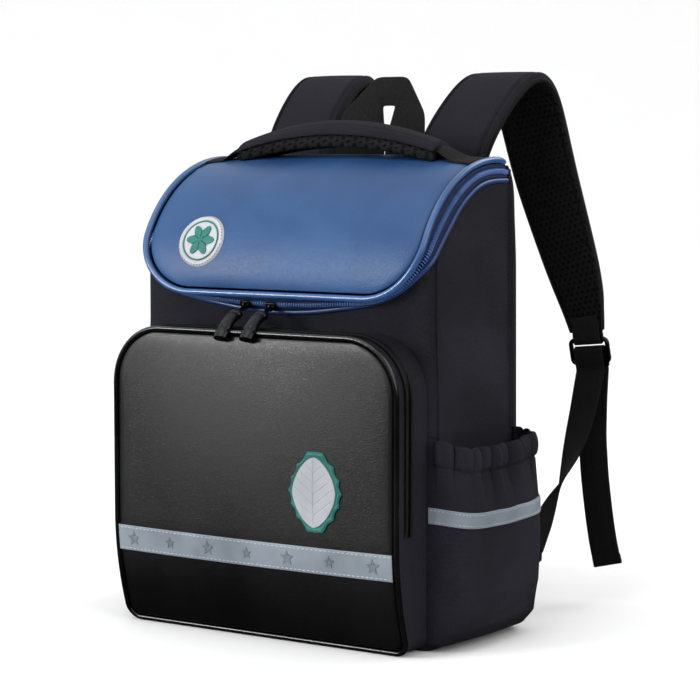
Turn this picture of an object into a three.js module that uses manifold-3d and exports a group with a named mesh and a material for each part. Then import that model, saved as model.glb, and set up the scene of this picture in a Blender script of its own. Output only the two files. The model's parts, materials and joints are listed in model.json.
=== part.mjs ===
// A school backpack with a hooded zip lid, a zipped front pocket, two gathered side
// pockets, a grab handle, a hang loop and two padded shoulder straps.
// Millimetres, +Z up, the wearer's back towards +Y. The origin is the middle of the base.
import * as THREE from "three";
import Module from "manifold-3d";
import { mergeVertices } from "three/addons/utils/BufferGeometryUtils.js";

const wasm = await Module();
wasm.setup();

// Cloth, leather, webbing and clearance
const GAP = 0.4;
const CLOTH = 2;
const LEATHER = 2.4;
const TAPE = 1.2;
const WEBBING = 1.5;
const WEBBING_WIDTH = 28;

// Body
const BODY_WIDTH = 290;
const BODY_DEPTH = 134;
const BODY_CORNER = 10;
const BASE_EDGE = 6;
const RIM_FRONT = 264.5;
const RIM_SIDE = 372;
const RIM_RISES_FROM = 0.55; // of half the width, from the middle of the front
const RIM_RISES_TO = 0.6; // of the depth, along the side
const TOP_NARROWING = 2; // how much each side leans in by the rim
const LEANS_FROM = 0.75; // of the front rim's height

// Lid, its piping and its zip
const LID_FRONT_HEIGHT = 281;
const LID_TOP = 391;
const LID_OVERHANG = 12; // past the front of the body
const LID_NARROWING = 5.5; // from the side of the body to the lid's edge
const LID_BACK_SETBACK = 26; // from the back of the body to the lid's back seam
const LID_CORNER = 52;
const LID_CROWN = 4;
const LID_PIPING_R = 3;
const RIM_PIPING_R = 2;
const ZIP_CHAIN_WIDTH = 4.4;
const ZIP_CHAIN_HEIGHT = 2.4;
const ZIP_RUN_PAST_LID = 15;
const SLIDER_LENGTH = 11;
const SLIDER_WIDTH = 8;
const SLIDER_HEIGHT = 3.2;
const SLIDER_SPACING = 25;
const SLIDERS_OFF_CENTRE = 16; // to the left of the middle
const SLIDER_NOSE = 0.7; // of the slider's width and length
const PULL_LENGTH = 31;
const PULL_R = 3.4;
const PULL_ASIDE = 0.12; // how far the pulls lie to the left for each mm forward

// Back and top
const YOKE_ROUND = 26;
const YOKE_FLAP = 26;
const BACK_PAD_THICKNESS = 10;
const BACK_PAD_WIDTH = 280;
const BACK_PAD_LOW = 16;
const BACK_PAD_CORNER = 30;
const BACK_PAD_EDGE = 3.5;

// Front pocket
const POCKET_DEPTH = 44;
const POCKET_TOP = 253;
const POCKET_FOOT = 1.5;
const POCKET_SIDE_INSET = 3.5; // from the side of the body
const POCKET_CORNER = 48;
const POCKET_FOOT_CORNER = 12;
const POCKET_TUCK = 18; // how far the panel draws back at its foot
const POCKET_TUCK_HEIGHT = 95;
const POCKET_CROWN = 6;
const POCKET_PIPING_R = 2.2;
const POCKET_ZIP_WIDTH = 11;
const POCKET_ZIP_END = 96; // height of the zip's two ends
const POCKET_ZIP_PLACE = 0.62; // of the pocket's depth, out from the body

// Reflective strips and ornaments
const STRIP_THICKNESS = 0.8;
const FRONT_STRIP_LOW = 63;
const FRONT_STRIP_WIDTH = 21.5;
const STAR_COUNT = 7;
const STAR_PITCH = 40;
const STAR_R = 6.4;
const STAR_NOTCH = 0.45; // of a star's radius
const SMALL_STAR = 0.8; // of a star's radius
const STAR_RAISED = 0.5;
const BADGE_R = 23;
const BADGE_FROM_CENTRE = 79;
const BADGE_UP_LID = 45;
const BADGE_THICKNESS = 1.6;
const FLOWER_R = 14;
const PETALS = 6;
const PETAL_DEPTH = 0.2; // of the flower's radius
const RAISED = 1; // how far the flower and the leaf stand up
const PATCH_WIDTH = 48;
const PATCH_HEIGHT = 66;
const PATCH_FROM_CENTRE = 68;
const PATCH_CENTRE_HEIGHT = 129;
const PATCH_THICKNESS = 2;
const SCALLOPS = 14;
const SCALLOP_DEPTH = 0.08; // of the patch's radius
const LEAF_SHARE = 0.8; // of the patch

// Side pockets
const SIDE_POCKET_DEPTH = 34;
const SIDE_POCKET_CORNER = 24;
const SIDE_POCKET_FOOT = 2;
const SIDE_POCKET_TOP = 144;
const SIDE_POCKET_FRONT_RISE = 21;
const SIDE_POCKET_BACK_RISE = 13;
const SIDE_STRIP_LOW = 90;
const SIDE_STRIP_WIDTH = 16;
const HEM = 20;
const GATHERS = 8;
const GATHER_DEPTH = 2.6;
const FRONT_FULLNESS = 0.8; // of the pocket's depth, at its front corner

// Grab handle
const HANDLE_SPAN = 260;
const HANDLE_PAD_SPAN = 200;
const HANDLE_WIDTH = 30;
const HANDLE_RISE = 30;
const HANDLE_FROM_BACK = 45; // from the back of the body to the handle's middle
const HANDLE_PAD = 5.5;
const HANDLE_LINING = 3.5;
const HANDLE_THIN = 0.7; // of its thickness, at the feet of its arch
const HANDLE_BOW = 3.5; // how far the handle's long edges hang down
const HANDLE_TAB_END = 10; // from the tab's end to the side of the body
const HANDLE_TAB_SLOPE = 0.6; // of the tab's length

// Hang loop
const LOOP_TOP = 463.5;
const LOOP_FOOT = 350;
const LOOP_SPREAD = 50; // from the middle to a foot's outer edge
const LOOP_LEAN = 7; // the loop's top stands this far to one side
const LOOP_THICKNESS = 2.6;
const LOOP_TOP_HALF = 16;
const LOOP_EYE_HALF = 6;
const LOOP_EYE_DROP = 24; // from the loop's top to the top of its eye
const LOOP_BEND_DROP = 32; // from the loop's top to where its legs turn outwards
const LOOP_TILT = 9.5; // degrees, away from the bag

// Shoulder straps, buckles and their webbing
const STRAP_WIDTH = 68;
const STRAP_TIP_WIDTH = 32;
const STRAP_PAD = 6.6;
const STRAP_LINING = 3.8;
const STRAP_FOOT = 345;
const STRAP_TOP = 462;
const STRAP_TIP = 240;
const STRAP_REACH = 113;
const STRAP_FLARE = 62;
const STRAP_FROM_CENTRE = 84;
const BUCKLE_WIDTH = 40;
const BUCKLE_BAR = 4;
const BUCKLE_SLOT = 6.4;
const BUCKLE_THICKNESS = 4;
const BUCKLE_DROP = 5; // from the strap's tip to the buckle
const FREE_END_LOW = 33;
const ANCHOR_HEIGHT = 52;
const ANCHOR_REACH = 50;
const ANCHOR_THICKNESS = 3;
const ANCHOR_MIDDLE = 62;

const halfWidth = BODY_WIDTH / 2;
const halfDepth = BODY_DEPTH / 2;

const clamp01 = (t) => Math.min(1, Math.max(0, t));
const smooth = (t) => clamp01(t) ** 2 * (3 - 2 * clamp01(t));
const mix = THREE.MathUtils.lerp;
const vec = (x, y, z) => new THREE.Vector3(x, y, z);
const quarter = Math.PI / 2;
// The whole numbers from 0 to n, each divided by n.
const shares = (n) => Array.from({ length: n + 1 }, (_, i) => i / n);
const spread = (from, to, steps) => shares(steps).map((t) => mix(from, to, t));

// Solids from grids of points

// A closed geometry from faces given as lists of corners: the corners are welded, faces
// that have closed up are dropped, and all faces are turned outwards.
function closedSolid(faces) {
  const weld = 1000; // corners closer than a thousandth of a millimetre are one
  const found = new Map();
  const corners = [];
  const indexOf = (p) => {
    const key = [p.x, p.y, p.z].map((v) => Math.round(v * weld)).join();
    if (!found.has(key)) {
      found.set(key, corners.length);
      corners.push(p);
    }
    return found.get(key);
  };
  const triangles = [];
  for (const face of faces) {
    const ids = face.map(indexOf);
    for (let i = 1; i + 1 < ids.length; i++) {
      const [a, b, c] = [ids[0], ids[i], ids[i + 1]];
      if (a !== b && b !== c && c !== a) triangles.push([a, b, c]);
    }
  }
  const volume = triangles.reduce(
    (sum, [a, b, c]) => sum + corners[a].dot(corners[b].clone().cross(corners[c])),
    0,
  );
  const turned = volume < 0 ? triangles.map(([a, b, c]) => [a, c, b]) : triangles;
  const geometry = new THREE.BufferGeometry().setFromPoints(corners);
  geometry.setIndex(turned.flat());
  return geometry;
}

// The four-cornered faces of a grid of points; around joins the last column to the first.
function gridFaces(rows, around = false) {
  const faces = [];
  for (let i = 0; i + 1 < rows.length; i++) {
    const n = rows[i].length;
    for (let j = 0; j < (around ? n : n - 1); j++) {
      const k = (j + 1) % n;
      faces.push([rows[i][j], rows[i][k], rows[i + 1][k], rows[i + 1][j]]);
    }
  }
  return faces;
}

const reversed = (faces) => faces.map((face) => [...face].reverse());

// A wall between two grids of the same shape, closed along all its edges.
function wall(outer, inner, around = false) {
  const last = outer.length - 1;
  const column = (rows, j) => rows.map((row) => row[j]);
  const faces = [
    ...gridFaces(outer, around),
    ...reversed(gridFaces(inner, around)),
    ...reversed(gridFaces([outer[0], inner[0]], around)),
    ...gridFaces([outer[last], inner[last]], around),
  ];
  if (!around) {
    const end = outer[0].length - 1;
    faces.push(...gridFaces([column(outer, 0), column(inner, 0)]));
    faces.push(...reversed(gridFaces([column(outer, end), column(inner, end)])));
  }
  return closedSolid(faces);
}

// A wall on a surface that is a function of (row, column, lift), between two lifts.
function layer(surface, rowValues, columnValues, low, high, around = false) {
  const grid = (lift) => rowValues.map((r) => columnValues.map((c) => surface(r, c, lift)));
  return wall(grid(high), grid(low), around);
}

// A solid through a list of rings, capped at both ends or joined into a loop.
function sweep(rings, loop = false) {
  if (loop) return closedSolid(gridFaces([...rings, rings[0]], true));
  const faces = gridFaces(rings, true);
  faces.push([...rings[0]].reverse(), [...rings[rings.length - 1]]);
  return closedSolid(faces);
}

// A ring of points round a centre, in the plane of two unit vectors.
function ring(centre, across, up, outline) {
  return outline.map(([a, b]) =>
    centre.clone().addScaledVector(across, a).addScaledVector(up, b),
  );
}

const turns = (n) => shares(n).slice(0, n).map((t) => 4 * quarter * t);
const circle = (r, n) => turns(n).map((angle) => [r * Math.cos(angle), r * Math.sin(angle)]);
const oblong = (width, low, high) => [
  [-width / 2, low],
  [width / 2, low],
  [width / 2, high],
  [-width / 2, high],
];

// A flat plate of an outline, its thickness along a frame's third direction.
function plate(shape, depth, frame, bevel = 0) {
  const geometry = new THREE.ExtrudeGeometry(shape, {
    depth: depth - 2 * bevel,
    curveSegments: 4,
    bevelEnabled: bevel > 0,
    bevelSize: bevel,
    bevelThickness: bevel,
    bevelOffset: -bevel,
    bevelSegments: 1,
  });
  geometry.deleteAttribute("normal");
  geometry.deleteAttribute("uv");
  geometry.translate(0, 0, bevel);
  return mergeVertices(geometry.applyMatrix4(frame), 1e-3);
}

const frameAt = (origin, x, y, z) =>
  new THREE.Matrix4().makeBasis(x, y, z).setPosition(origin);

// Closed geometries joined into one.
function joined(geometries) {
  const solids = geometries.map((geometry) => {
    const vertProperties = new Float32Array(geometry.attributes.position.array);
    const triVerts = new Uint32Array(geometry.index.array);
    return new wasm.Manifold(new wasm.Mesh({ numProp: 3, vertProperties, triVerts }));
  });
  const mesh = solids.reduce((all, next) => all.add(next)).getMesh();
  const geometry = new THREE.BufferGeometry();
  geometry.setAttribute("position", new THREE.BufferAttribute(mesh.vertProperties, 3));
  geometry.setIndex(new THREE.BufferAttribute(mesh.triVerts, 1));
  return geometry;
}

// Finishes, and a named mesh in the bag's group

const finish = (color, roughness) =>
  new THREE.MeshStandardMaterial({ color, roughness, metalness: 0 });
const cloth = () => finish(0x2b2a33, 0.85);
const spacerMesh = () => finish(0x14140f, 0.95);
const blackWebbing = () => finish(0x121210, 0.8);
const blueLeather = () => finish(0x4a6c9b, 0.45);
const blackLeather = () => finish(0x17181b, 0.4);
const blueTape = () => finish(0x25355f, 0.75);
const reflective = () => finish(0x8d959c, 0.4);
const blackPlastic = () => finish(0x0c0c0d, 0.35);
const silverRubber = () => finish(0xb4b4b8, 0.5);
const tealRubber = () => finish(0x2a6f6a, 0.5);

const bag = new THREE.Group();
function add(name, geometry, material) {
  const piece = new THREE.Mesh(geometry, material);
  piece.name = name;
  bag.add(piece);
}
const sides = [
  { name: "left", sign: -1 },
  { name: "right", sign: 1 },
];
// A geometry modelled on the right, or its mirror image on the left.
function onSide(geometry, sign) {
  if (sign > 0) return geometry;
  const mirror = geometry.clone().scale(-1, 1, 1);
  const index = [...mirror.index.array];
  for (let i = 0; i < index.length; i += 3) [index[i], index[i + 1]] = [index[i + 1], index[i]];
  mirror.setIndex(index);
  return mirror;
}

// The hood: the curve that the lid and the yoke follow from the lid's front edge, up and
// over the top, and down the back. s is the distance along it from the front edge.

const lidHalfWidth = halfWidth - LID_NARROWING;
const lidInset = LID_PIPING_R + 3.5 * GAP; // from the piping's middle to the lid's edge
const lidBackY = halfDepth - LID_BACK_SETBACK;
const zipEndY = lidBackY + ZIP_RUN_PAST_LID;
const lidReach = lidBackY + halfDepth + LID_OVERHANG;
const lidRise = LID_TOP - LID_FRONT_HEIGHT;
const lidLength = (quarter * (lidReach + lidRise)) / 2;
const yokeBackY = halfDepth + GAP + CLOTH;
const yokeCentre = { y: yokeBackY - YOKE_ROUND, z: LID_TOP - YOKE_ROUND };
const yokeFlat = yokeCentre.y - lidBackY;
const yokeArc = quarter * YOKE_ROUND;
const yokeEnd = lidLength + yokeFlat + yokeArc + YOKE_FLAP;
const zipEndAngle = Math.asin((zipEndY - yokeCentre.y) / YOKE_ROUND);
const zipEndS = lidLength + yokeFlat + YOKE_ROUND * zipEndAngle;

function hood(s) {
  if (s <= lidLength) {
    const angle = quarter * (1 - s / lidLength);
    const normal = vec(0, -lidRise * Math.sin(angle), lidReach * Math.cos(angle)).normalize();
    const y = lidBackY - lidReach * Math.sin(angle);
    const z = LID_FRONT_HEIGHT + lidRise * Math.cos(angle);
    return { y, z, normal, crown: Math.sin((quarter * s) / lidLength) };
  }
  const past = s - lidLength;
  if (past <= yokeFlat) return { y: lidBackY + past, z: LID_TOP, normal: vec(0, 0, 1), crown: 1 };
  const angle = Math.min((past - yokeFlat) / YOKE_ROUND, quarter);
  const normal = vec(0, Math.sin(angle), Math.cos(angle));
  const down = Math.max(0, past - yokeFlat - yokeArc);
  const y = yokeCentre.y + YOKE_ROUND * normal.y;
  const z = yokeCentre.z + YOKE_ROUND * normal.z - down;
  return { y, z, normal, crown: 1 - smooth(angle / quarter) };
}

function hoodPoint(x, s, lift) {
  const { y, z, normal, crown } = hood(s);
  const raised = LID_CROWN * crown * (1 - (x / lidHalfWidth) ** 2);
  return vec(x, y, z).addScaledVector(normal, raised + lift);
}

// The height of the lid's outside above a place on the plan.
function lidHeight(x, y) {
  const angle = Math.asin(clamp01((lidBackY - y) / lidReach));
  return hoodPoint(x, lidLength * (1 - angle / quarter), 0).z;
}

// Body

// Half the body's width at a height: it leans in a little above its lower part.
const leanFrom = RIM_FRONT * LEANS_FROM;
const sideX = (z) => halfWidth - TOP_NARROWING * smooth((z - leanFrom) / (RIM_FRONT - leanFrom));

// A station on the plan, at a distance round it from the middle of the front.
const frontRun = halfWidth - BODY_CORNER;
const sideRun = BODY_DEPTH - 2 * BODY_CORNER;
const cornerRun = quarter * BODY_CORNER;
function station(u) {
  const turned = (fx, fy, angle) => ({ fx, fy, nx: Math.sin(angle), ny: -Math.cos(angle) });
  if (u <= frontRun) return turned(u / frontRun, -1, 0);
  const pastFront = u - frontRun;
  if (pastFront <= cornerRun) return turned(1, -1, pastFront / BODY_CORNER);
  const pastCorner = pastFront - cornerRun;
  if (pastCorner <= sideRun) return turned(1, -1 + (2 * pastCorner) / sideRun, quarter);
  const pastSide = pastCorner - sideRun;
  if (pastSide <= cornerRun) return turned(1, 1, quarter + pastSide / BODY_CORNER);
  return turned(1 - (pastSide - cornerRun) / frontRun, 1, 2 * quarter);
}

function bodyPoint(place, z, inset) {
  const r = BODY_CORNER;
  const x = place.fx * (sideX(z) - r) + (r - inset) * place.nx;
  const y = place.fy * (halfDepth - r) + (r - inset) * place.ny;
  return vec(x, y, z);
}

// The height of the rim: level at the front, one smooth sweep up to the sides, and close
// under the yoke behind the zip's end.
const zipEndU = frontRun + cornerRun + (zipEndY + halfDepth - BODY_CORNER);
function rimHeight(place, u) {
  const from = halfWidth * RIM_RISES_FROM;
  const to = halfWidth + BODY_DEPTH * RIM_RISES_TO;
  const swept = mix(RIM_FRONT, RIM_SIDE, smooth((u - from) / (to - from)));
  if (u <= zipEndU) return swept;
  const y = bodyPoint(place, RIM_SIDE, 0).y;
  const under = YOKE_ROUND - CLOTH - GAP;
  const out = Math.min(under, y - yokeCentre.y);
  return yokeCentre.z + Math.sqrt(under ** 2 - out ** 2);
}

const zipStations = [
  ...spread(0, frontRun, 7),
  ...spread(frontRun, frontRun + cornerRun, 3).slice(1),
  ...spread(frontRun + cornerRun, zipEndU, 8).slice(1),
];
const backCornerU = frontRun + cornerRun + sideRun;
const backStations = [
  zipEndU + 4 * GAP,
  ...spread(backCornerU, backCornerU + cornerRun, 3),
  backCornerU + cornerRun + frontRun,
];
const mirrorPlace = (place) => ({ ...place, fx: -place.fx, nx: -place.nx });

function bodyShell() {
  const right = [...zipStations, ...backStations].map((u) => ({ u, place: station(u) }));
  const left = right.slice(1, -1).map(({ u, place }) => ({ u, place: mirrorPlace(place) }));
  const places = [...right, ...left.reverse()];
  const edge = BASE_EDGE;
  const middles = [leanFrom / 2, leanFrom];
  const skin = (depth) => {
    const level = (z, inset) => places.map(({ place }) => bodyPoint(place, z, inset));
    const rows = [places.map(() => vec(0, 0, depth))];
    for (const t of shares(2)) {
      const angle = quarter * t;
      const inset = edge - (edge - depth) * Math.sin(angle);
      rows.push(level(edge - (edge - depth) * Math.cos(angle), inset));
    }
    rows.push(...middles.map((z) => level(z, depth)));
    for (const t of [0.5, 1]) {
      const toRim = ({ place, u }) => mix(leanFrom, rimHeight(place, u), t);
      rows.push(places.map((at) => bodyPoint(at.place, toRim(at), depth)));
    }
    return rows;
  };
  return wall(skin(0), skin(CLOTH), true);
}

function roundedRectangle(width, low, high, r) {
  const x = width / 2;
  const shape = new THREE.Shape();
  shape.absarc(x - r, low + r, r, -quarter, 0);
  shape.absarc(x - r, high - r, r, 0, quarter);
  shape.absarc(-x + r, high - r, r, quarter, 2 * quarter);
  shape.absarc(-x + r, low + r, r, 2 * quarter, 3 * quarter);
  return shape;
}

function backPanel() {
  const top = yokeCentre.z - YOKE_FLAP - 2;
  const shape = roundedRectangle(BACK_PAD_WIDTH, BACK_PAD_LOW, top, BACK_PAD_CORNER);
  const frame = frameAt(vec(0, halfDepth + GAP, 0), vec(-1, 0, 0), vec(0, 0, 1), vec(0, 1, 0));
  return plate(shape, BACK_PAD_THICKNESS, frame, BACK_PAD_EDGE);
}

function backYoke() {
  const narrow = lidHalfWidth - lidInset;
  const from = lidLength + GAP;
  const past = zipEndS + 2 * GAP;
  const rows = [
    ...spread(from, zipEndS, 3).map((s) => ({ s, half: narrow })),
    ...spread(past, lidLength + yokeFlat + yokeArc, 4).map((s) => ({ s, half: lidHalfWidth })),
    { s: yokeEnd, half: lidHalfWidth },
  ];
  const surface = (row, share, lift) => hoodPoint(share * row.half, row.s, lift);
  return layer(surface, rows, spread(-1, 1, 8), -CLOTH, 0);
}

add("main_shell", bodyShell(), cloth());
add("back_panel", backPanel(), spacerMesh());
add("back_yoke", backYoke(), cloth());

// Lid, zip and piping

// Half the width of a plate with rounded corners, at a distance from its low end.
function roundedHalf(half, length, lowCorner, highCorner, s) {
  const cut = (r, d) => (d < r ? r - Math.sqrt(r ** 2 - (r - Math.max(0, d)) ** 2) : 0);
  return half - Math.max(cut(lowCorner, s), cut(highCorner, length - s));
}
const cornerRows = (r, steps) => shares(steps).map((t) => r * (1 - Math.cos(quarter * t)));

function lidPanel() {
  const inset = lidInset;
  const corner = LID_CORNER - inset;
  const rows = [
    ...cornerRows(corner, 6).map((s) => s + inset),
    ...spread(LID_CORNER, lidLength, 9).slice(1),
  ];
  const half = (s) => roundedHalf(lidHalfWidth - inset, lidLength, corner, 0, s - inset);
  const surface = (s, share, lift) => hoodPoint(share * half(s), s, lift);
  return layer(surface, rows, spread(-1, 1, 10), -LEATHER, 0);
}

// A point on the lid's outline, at a distance along it from the middle of its front edge.
const lidFrontRun = lidHalfWidth - LID_CORNER;
const lidOutlineLength = lidFrontRun + quarter * LID_CORNER + (zipEndS - LID_CORNER);
function lidEdge(run) {
  if (run <= lidFrontRun) return hoodPoint(run, 0, 0);
  const angle = (run - lidFrontRun) / LID_CORNER;
  if (angle > quarter) {
    return hoodPoint(lidHalfWidth, LID_CORNER + run - lidFrontRun - quarter * LID_CORNER, 0);
  }
  const x = lidFrontRun + LID_CORNER * Math.sin(angle);
  return hoodPoint(x, LID_CORNER * (1 - Math.cos(angle)), 0);
}

// The stations of the zip, left end first: a point on the rim, the distance to the lid's
// edge, and the directions along the zip, across it and out of it.
function zipLine() {
  const ends = [...zipStations.slice(0, -1), zipEndU - 2 * GAP];
  const rim = ends.map((u) => bodyPoint(station(u), rimHeight(station(u), u), 0));
  const runs = [0];
  rim.slice(1).forEach((p, i) => runs.push(runs[i] + p.distanceTo(rim[i])));
  const total = runs[runs.length - 1];
  const edge = runs.map((run) => lidEdge((run / total) * (lidOutlineLength - 2 * GAP)));
  const flip = (p) => vec(-p.x, p.y, p.z);
  const both = (points) => [...points.slice(1).reverse().map(flip), ...points];
  const rims = both(rim);
  const edges = both(edge);
  return rims.map((from, i) => {
    const width = from.distanceTo(edges[i]);
    const across = edges[i].clone().sub(from).normalize();
    const middles = (k) => rims[k].clone().add(edges[k]);
    const last = rims.length - 1;
    const along = middles(Math.min(i + 1, last)).sub(middles(Math.max(i - 1, 0)));
    along.addScaledVector(across, -along.dot(across)).normalize();
    return { from, width, across, out: along.clone().cross(across), along };
  });
}
const zip = zipLine();

// A bar along the zip: its section lies between two distances from the rim.
function zipBar(section) {
  return sweep(zip.map((at) => ring(at.from, at.across, at.out, section(at.width))));
}
const flatBar = (from, to, height) => [
  [from, -height / 2],
  [to, -height / 2],
  [to, height / 2],
  [from, height / 2],
];
const cordBar = (middle, r, n) => circle(r, n).map(([a, b]) => [middle + a, b]);
const lowTapeFrom = 2 * RIM_PIPING_R + 2 * GAP;
const highTapeTo = (width) => width - LID_PIPING_R - GAP;
const chainMiddle = (width) => (lowTapeFrom + highTapeTo(width)) / 2;
const chainHalf = ZIP_CHAIN_WIDTH / 2;
const tapeFromChain = chainHalf + 1.5 * GAP;

add("lid_panel", lidPanel(), blueLeather());
add("lid_piping", zipBar((width) => cordBar(width, LID_PIPING_R, 6)), blueLeather());
add("rim_piping", zipBar(() => cordBar(RIM_PIPING_R + GAP, RIM_PIPING_R, 5)), blueLeather());
const lowTape = (width) => flatBar(lowTapeFrom, chainMiddle(width) - tapeFromChain, TAPE);
const highTape = (width) =>
  flatBar(chainMiddle(width) + tapeFromChain, highTapeTo(width), TAPE);
const chain = (width) =>
  flatBar(chainMiddle(width) - chainHalf, chainMiddle(width) + chainHalf, ZIP_CHAIN_HEIGHT);
add("zip_tape_lower", zipBar(lowTape), blueTape());
add("zip_tape_upper", zipBar(highTape), blueTape());
add("zip_chain", zipBar(chain), blueTape());

// The zip's frame at a place across the front.
function zipPlace(x) {
  const nearest = zip.reduce((best, at) =>
    Math.abs(at.from.x - x) < Math.abs(best.from.x - x) ? at : best,
  );
  const middle = nearest.from.clone().add(vec(x - nearest.from.x, 0, 0));
  middle.addScaledVector(nearest.across, chainMiddle(nearest.width));
  return { ...nearest, middle };
}

function slider(place, lift) {
  const centre = place.middle.clone().addScaledVector(place.out, lift);
  const rings = [-1, -SLIDER_NOSE, SLIDER_NOSE, 1].map((share) => {
    const full = Math.abs(share) < 1 ? 1 : SLIDER_NOSE;
    const at = centre.clone().addScaledVector(place.along, (share * SLIDER_LENGTH) / 2);
    return ring(at, place.across, place.out, oblong(SLIDER_WIDTH * full, 0, SLIDER_HEIGHT));
  });
  return sweep(rings);
}

// The pull lies forward from its slider, over the front pocket: a thin cord, then a grip.
const pullSections = [
  { share: 0, radius: 0.35 },
  { share: 0.34, radius: 0.35 },
  { share: 0.42, radius: 0.8 },
  { share: 0.9, radius: 1 },
  { share: 1, radius: 0.7 },
];
function pull(place) {
  const lift = ZIP_CHAIN_HEIGHT / 2 + 3 * GAP + SLIDER_HEIGHT;
  const start = place.middle.clone().addScaledVector(place.out, lift);
  const direction = vec(-PULL_ASIDE, -1, 0).normalize();
  const rest = POCKET_TOP + GAP + TAPE + GAP + PULL_R;
  direction.z = (rest - start.z) / PULL_LENGTH;
  const across = vec(0, 0, 1).cross(direction).normalize();
  const up = direction.clone().cross(across).normalize();
  const rings = pullSections.map(({ share, radius }) => {
    const centre = start.clone().addScaledVector(direction, share * PULL_LENGTH);
    return ring(centre, across, up, circle(radius * PULL_R, 8));
  });
  return sweep(rings);
}

sides.forEach(({ name, sign }) => {
  const place = zipPlace((sign * SLIDER_SPACING) / 2 - SLIDERS_OFF_CENTRE);
  add(`lid_slider_${name}`, slider(place, ZIP_CHAIN_HEIGHT / 2 + GAP), blackPlastic());
  add(`lid_pull_${name}`, pull(place), blackPlastic());
});

// A thin piece on a surface of two coordinates, whose outline is a radius by angle.
function onSurface(surface, radius, low, high, columns) {
  const point = (share, angle, lift) => {
    const r = share * radius(angle);
    return surface(r * Math.cos(angle), r * Math.sin(angle), lift);
  };
  return layer(point, shares(2), turns(columns), low, high, true);
}
const onBadge = (a, b, lift) => hoodPoint(a - BADGE_FROM_CENTRE, BADGE_UP_LID + b, lift);
const petals = (angle) => FLOWER_R * (1 - PETAL_DEPTH * (1 - Math.cos(PETALS * angle)));
const discTop = GAP + BADGE_THICKNESS;
add("badge_disc", onSurface(onBadge, () => BADGE_R, GAP, discTop, 24), silverRubber());
const flower = onSurface(onBadge, petals, discTop + GAP, discTop + GAP + RAISED, 4 * PETALS);
add("badge_flower", flower, tealRubber());

// Front pocket

const pocketHalf = halfWidth - POCKET_SIDE_INSET;
const pocketHeight = POCKET_TOP - POCKET_FOOT;
const pocketFrontY = -halfDepth - POCKET_DEPTH;
const tuck = (z) => POCKET_TUCK * clamp01(1 - z / POCKET_TUCK_HEIGHT) ** 2;

// The pocket's front at a place on it: crowned in the middle, drawn back at its foot.
function pocketFront(x, z, lift) {
  const up = (2 * (z - POCKET_FOOT)) / pocketHeight - 1;
  const crown = POCKET_CROWN * (1 - (x / pocketHalf) ** 2) * (1 - up ** 2);
  return vec(x, pocketFrontY + tuck(z) - crown - lift, z);
}

const stripHigh = FRONT_STRIP_LOW + FRONT_STRIP_WIDTH;
const pipingInset = POCKET_PIPING_R / 2;
const panelInset = pipingInset + POCKET_PIPING_R + 2 * GAP;
function panelHalf(z) {
  const low = POCKET_FOOT_CORNER - panelInset;
  const high = POCKET_CORNER - panelInset;
  const length = pocketHeight - 2 * panelInset;
  return roundedHalf(pocketHalf - panelInset, length, low, high, z - POCKET_FOOT - panelInset);
}
const panelColumns = spread(-1, 1, 10);
const onPanel = (z, share, lift) => pocketFront(share * panelHalf(z), z, lift);

function pocketPanel() {
  const foot = POCKET_FOOT + panelInset;
  const top = POCKET_TOP - panelInset;
  const rows = [
    ...cornerRows(POCKET_FOOT_CORNER - panelInset, 2).map((d) => foot + d),
    ...spread(POCKET_FOOT + POCKET_FOOT_CORNER, FRONT_STRIP_LOW, 3).slice(1),
    ...spread(stripHigh, POCKET_TOP - POCKET_CORNER, 3),
    ...cornerRows(POCKET_CORNER - panelInset, 5).map((d) => top - d).reverse().slice(1),
  ];
  return layer(onPanel, rows, panelColumns, -LEATHER, 0);
}

// The pocket's outline, from the middle of its foot up the right side and down the left.
function pocketOutline() {
  const right = [{ x: 0, z: POCKET_FOOT, nx: 0, nz: -1 }];
  const arc = (r, z, from, steps) => {
    for (const t of shares(steps)) {
      const nx = Math.cos(from + quarter * t);
      const nz = Math.sin(from + quarter * t);
      right.push({ x: pocketHalf - r + r * nx, z: z + r * nz, nx, nz });
    }
  };
  arc(POCKET_FOOT_CORNER, POCKET_FOOT + POCKET_FOOT_CORNER, -quarter, 3);
  const above = (POCKET_ZIP_END + POCKET_TOP - POCKET_CORNER) / 2;
  const heights = [FRONT_STRIP_LOW / 2, FRONT_STRIP_LOW, POCKET_ZIP_END, above];
  for (const z of heights) right.push({ x: pocketHalf, z, nx: 1, nz: 0 });
  arc(POCKET_CORNER, POCKET_TOP - POCKET_CORNER, 0, 6);
  right.push({ x: 0, z: POCKET_TOP, nx: 0, nz: 1 });
  const left = right.slice(1, -1).map((p) => ({ ...p, x: -p.x, nx: -p.nx }));
  return [...right, ...left.reverse()];
}
const outline = pocketOutline();
const outlinePoint = (p, y, inset) => vec(p.x - inset * p.nx, y, p.z - inset * p.nz);
const outlineY = (p) => pocketFrontY + tuck(p.z);
const pipingY = (p) => outlineY(p) + POCKET_PIPING_R / 2;

function pocketPiping() {
  const centres = outline.map((p) => outlinePoint(p, pipingY(p), pipingInset));
  const rings = outline.map((p, i) => {
    const before = centres[(i + outline.length - 1) % outline.length];
    const after = centres[(i + 1) % outline.length];
    const along = after.clone().sub(before).normalize();
    const front = vec(p.nx, 0, p.nz).cross(along).normalize();
    const out = along.clone().cross(front);
    return ring(centres[i], out, front, circle(POCKET_PIPING_R, 6));
  });
  return sweep(rings, true);
}

function pocketGusset() {
  const start = (p) => pipingY(p) + POCKET_PIPING_R + GAP;
  const skin = (inset) =>
    shares(2).map((t) =>
      outline.map((p) => outlinePoint(p, mix(start(p), -halfDepth - GAP, t), inset)),
    );
  return wall(skin(0), skin(CLOTH), true);
}

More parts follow.
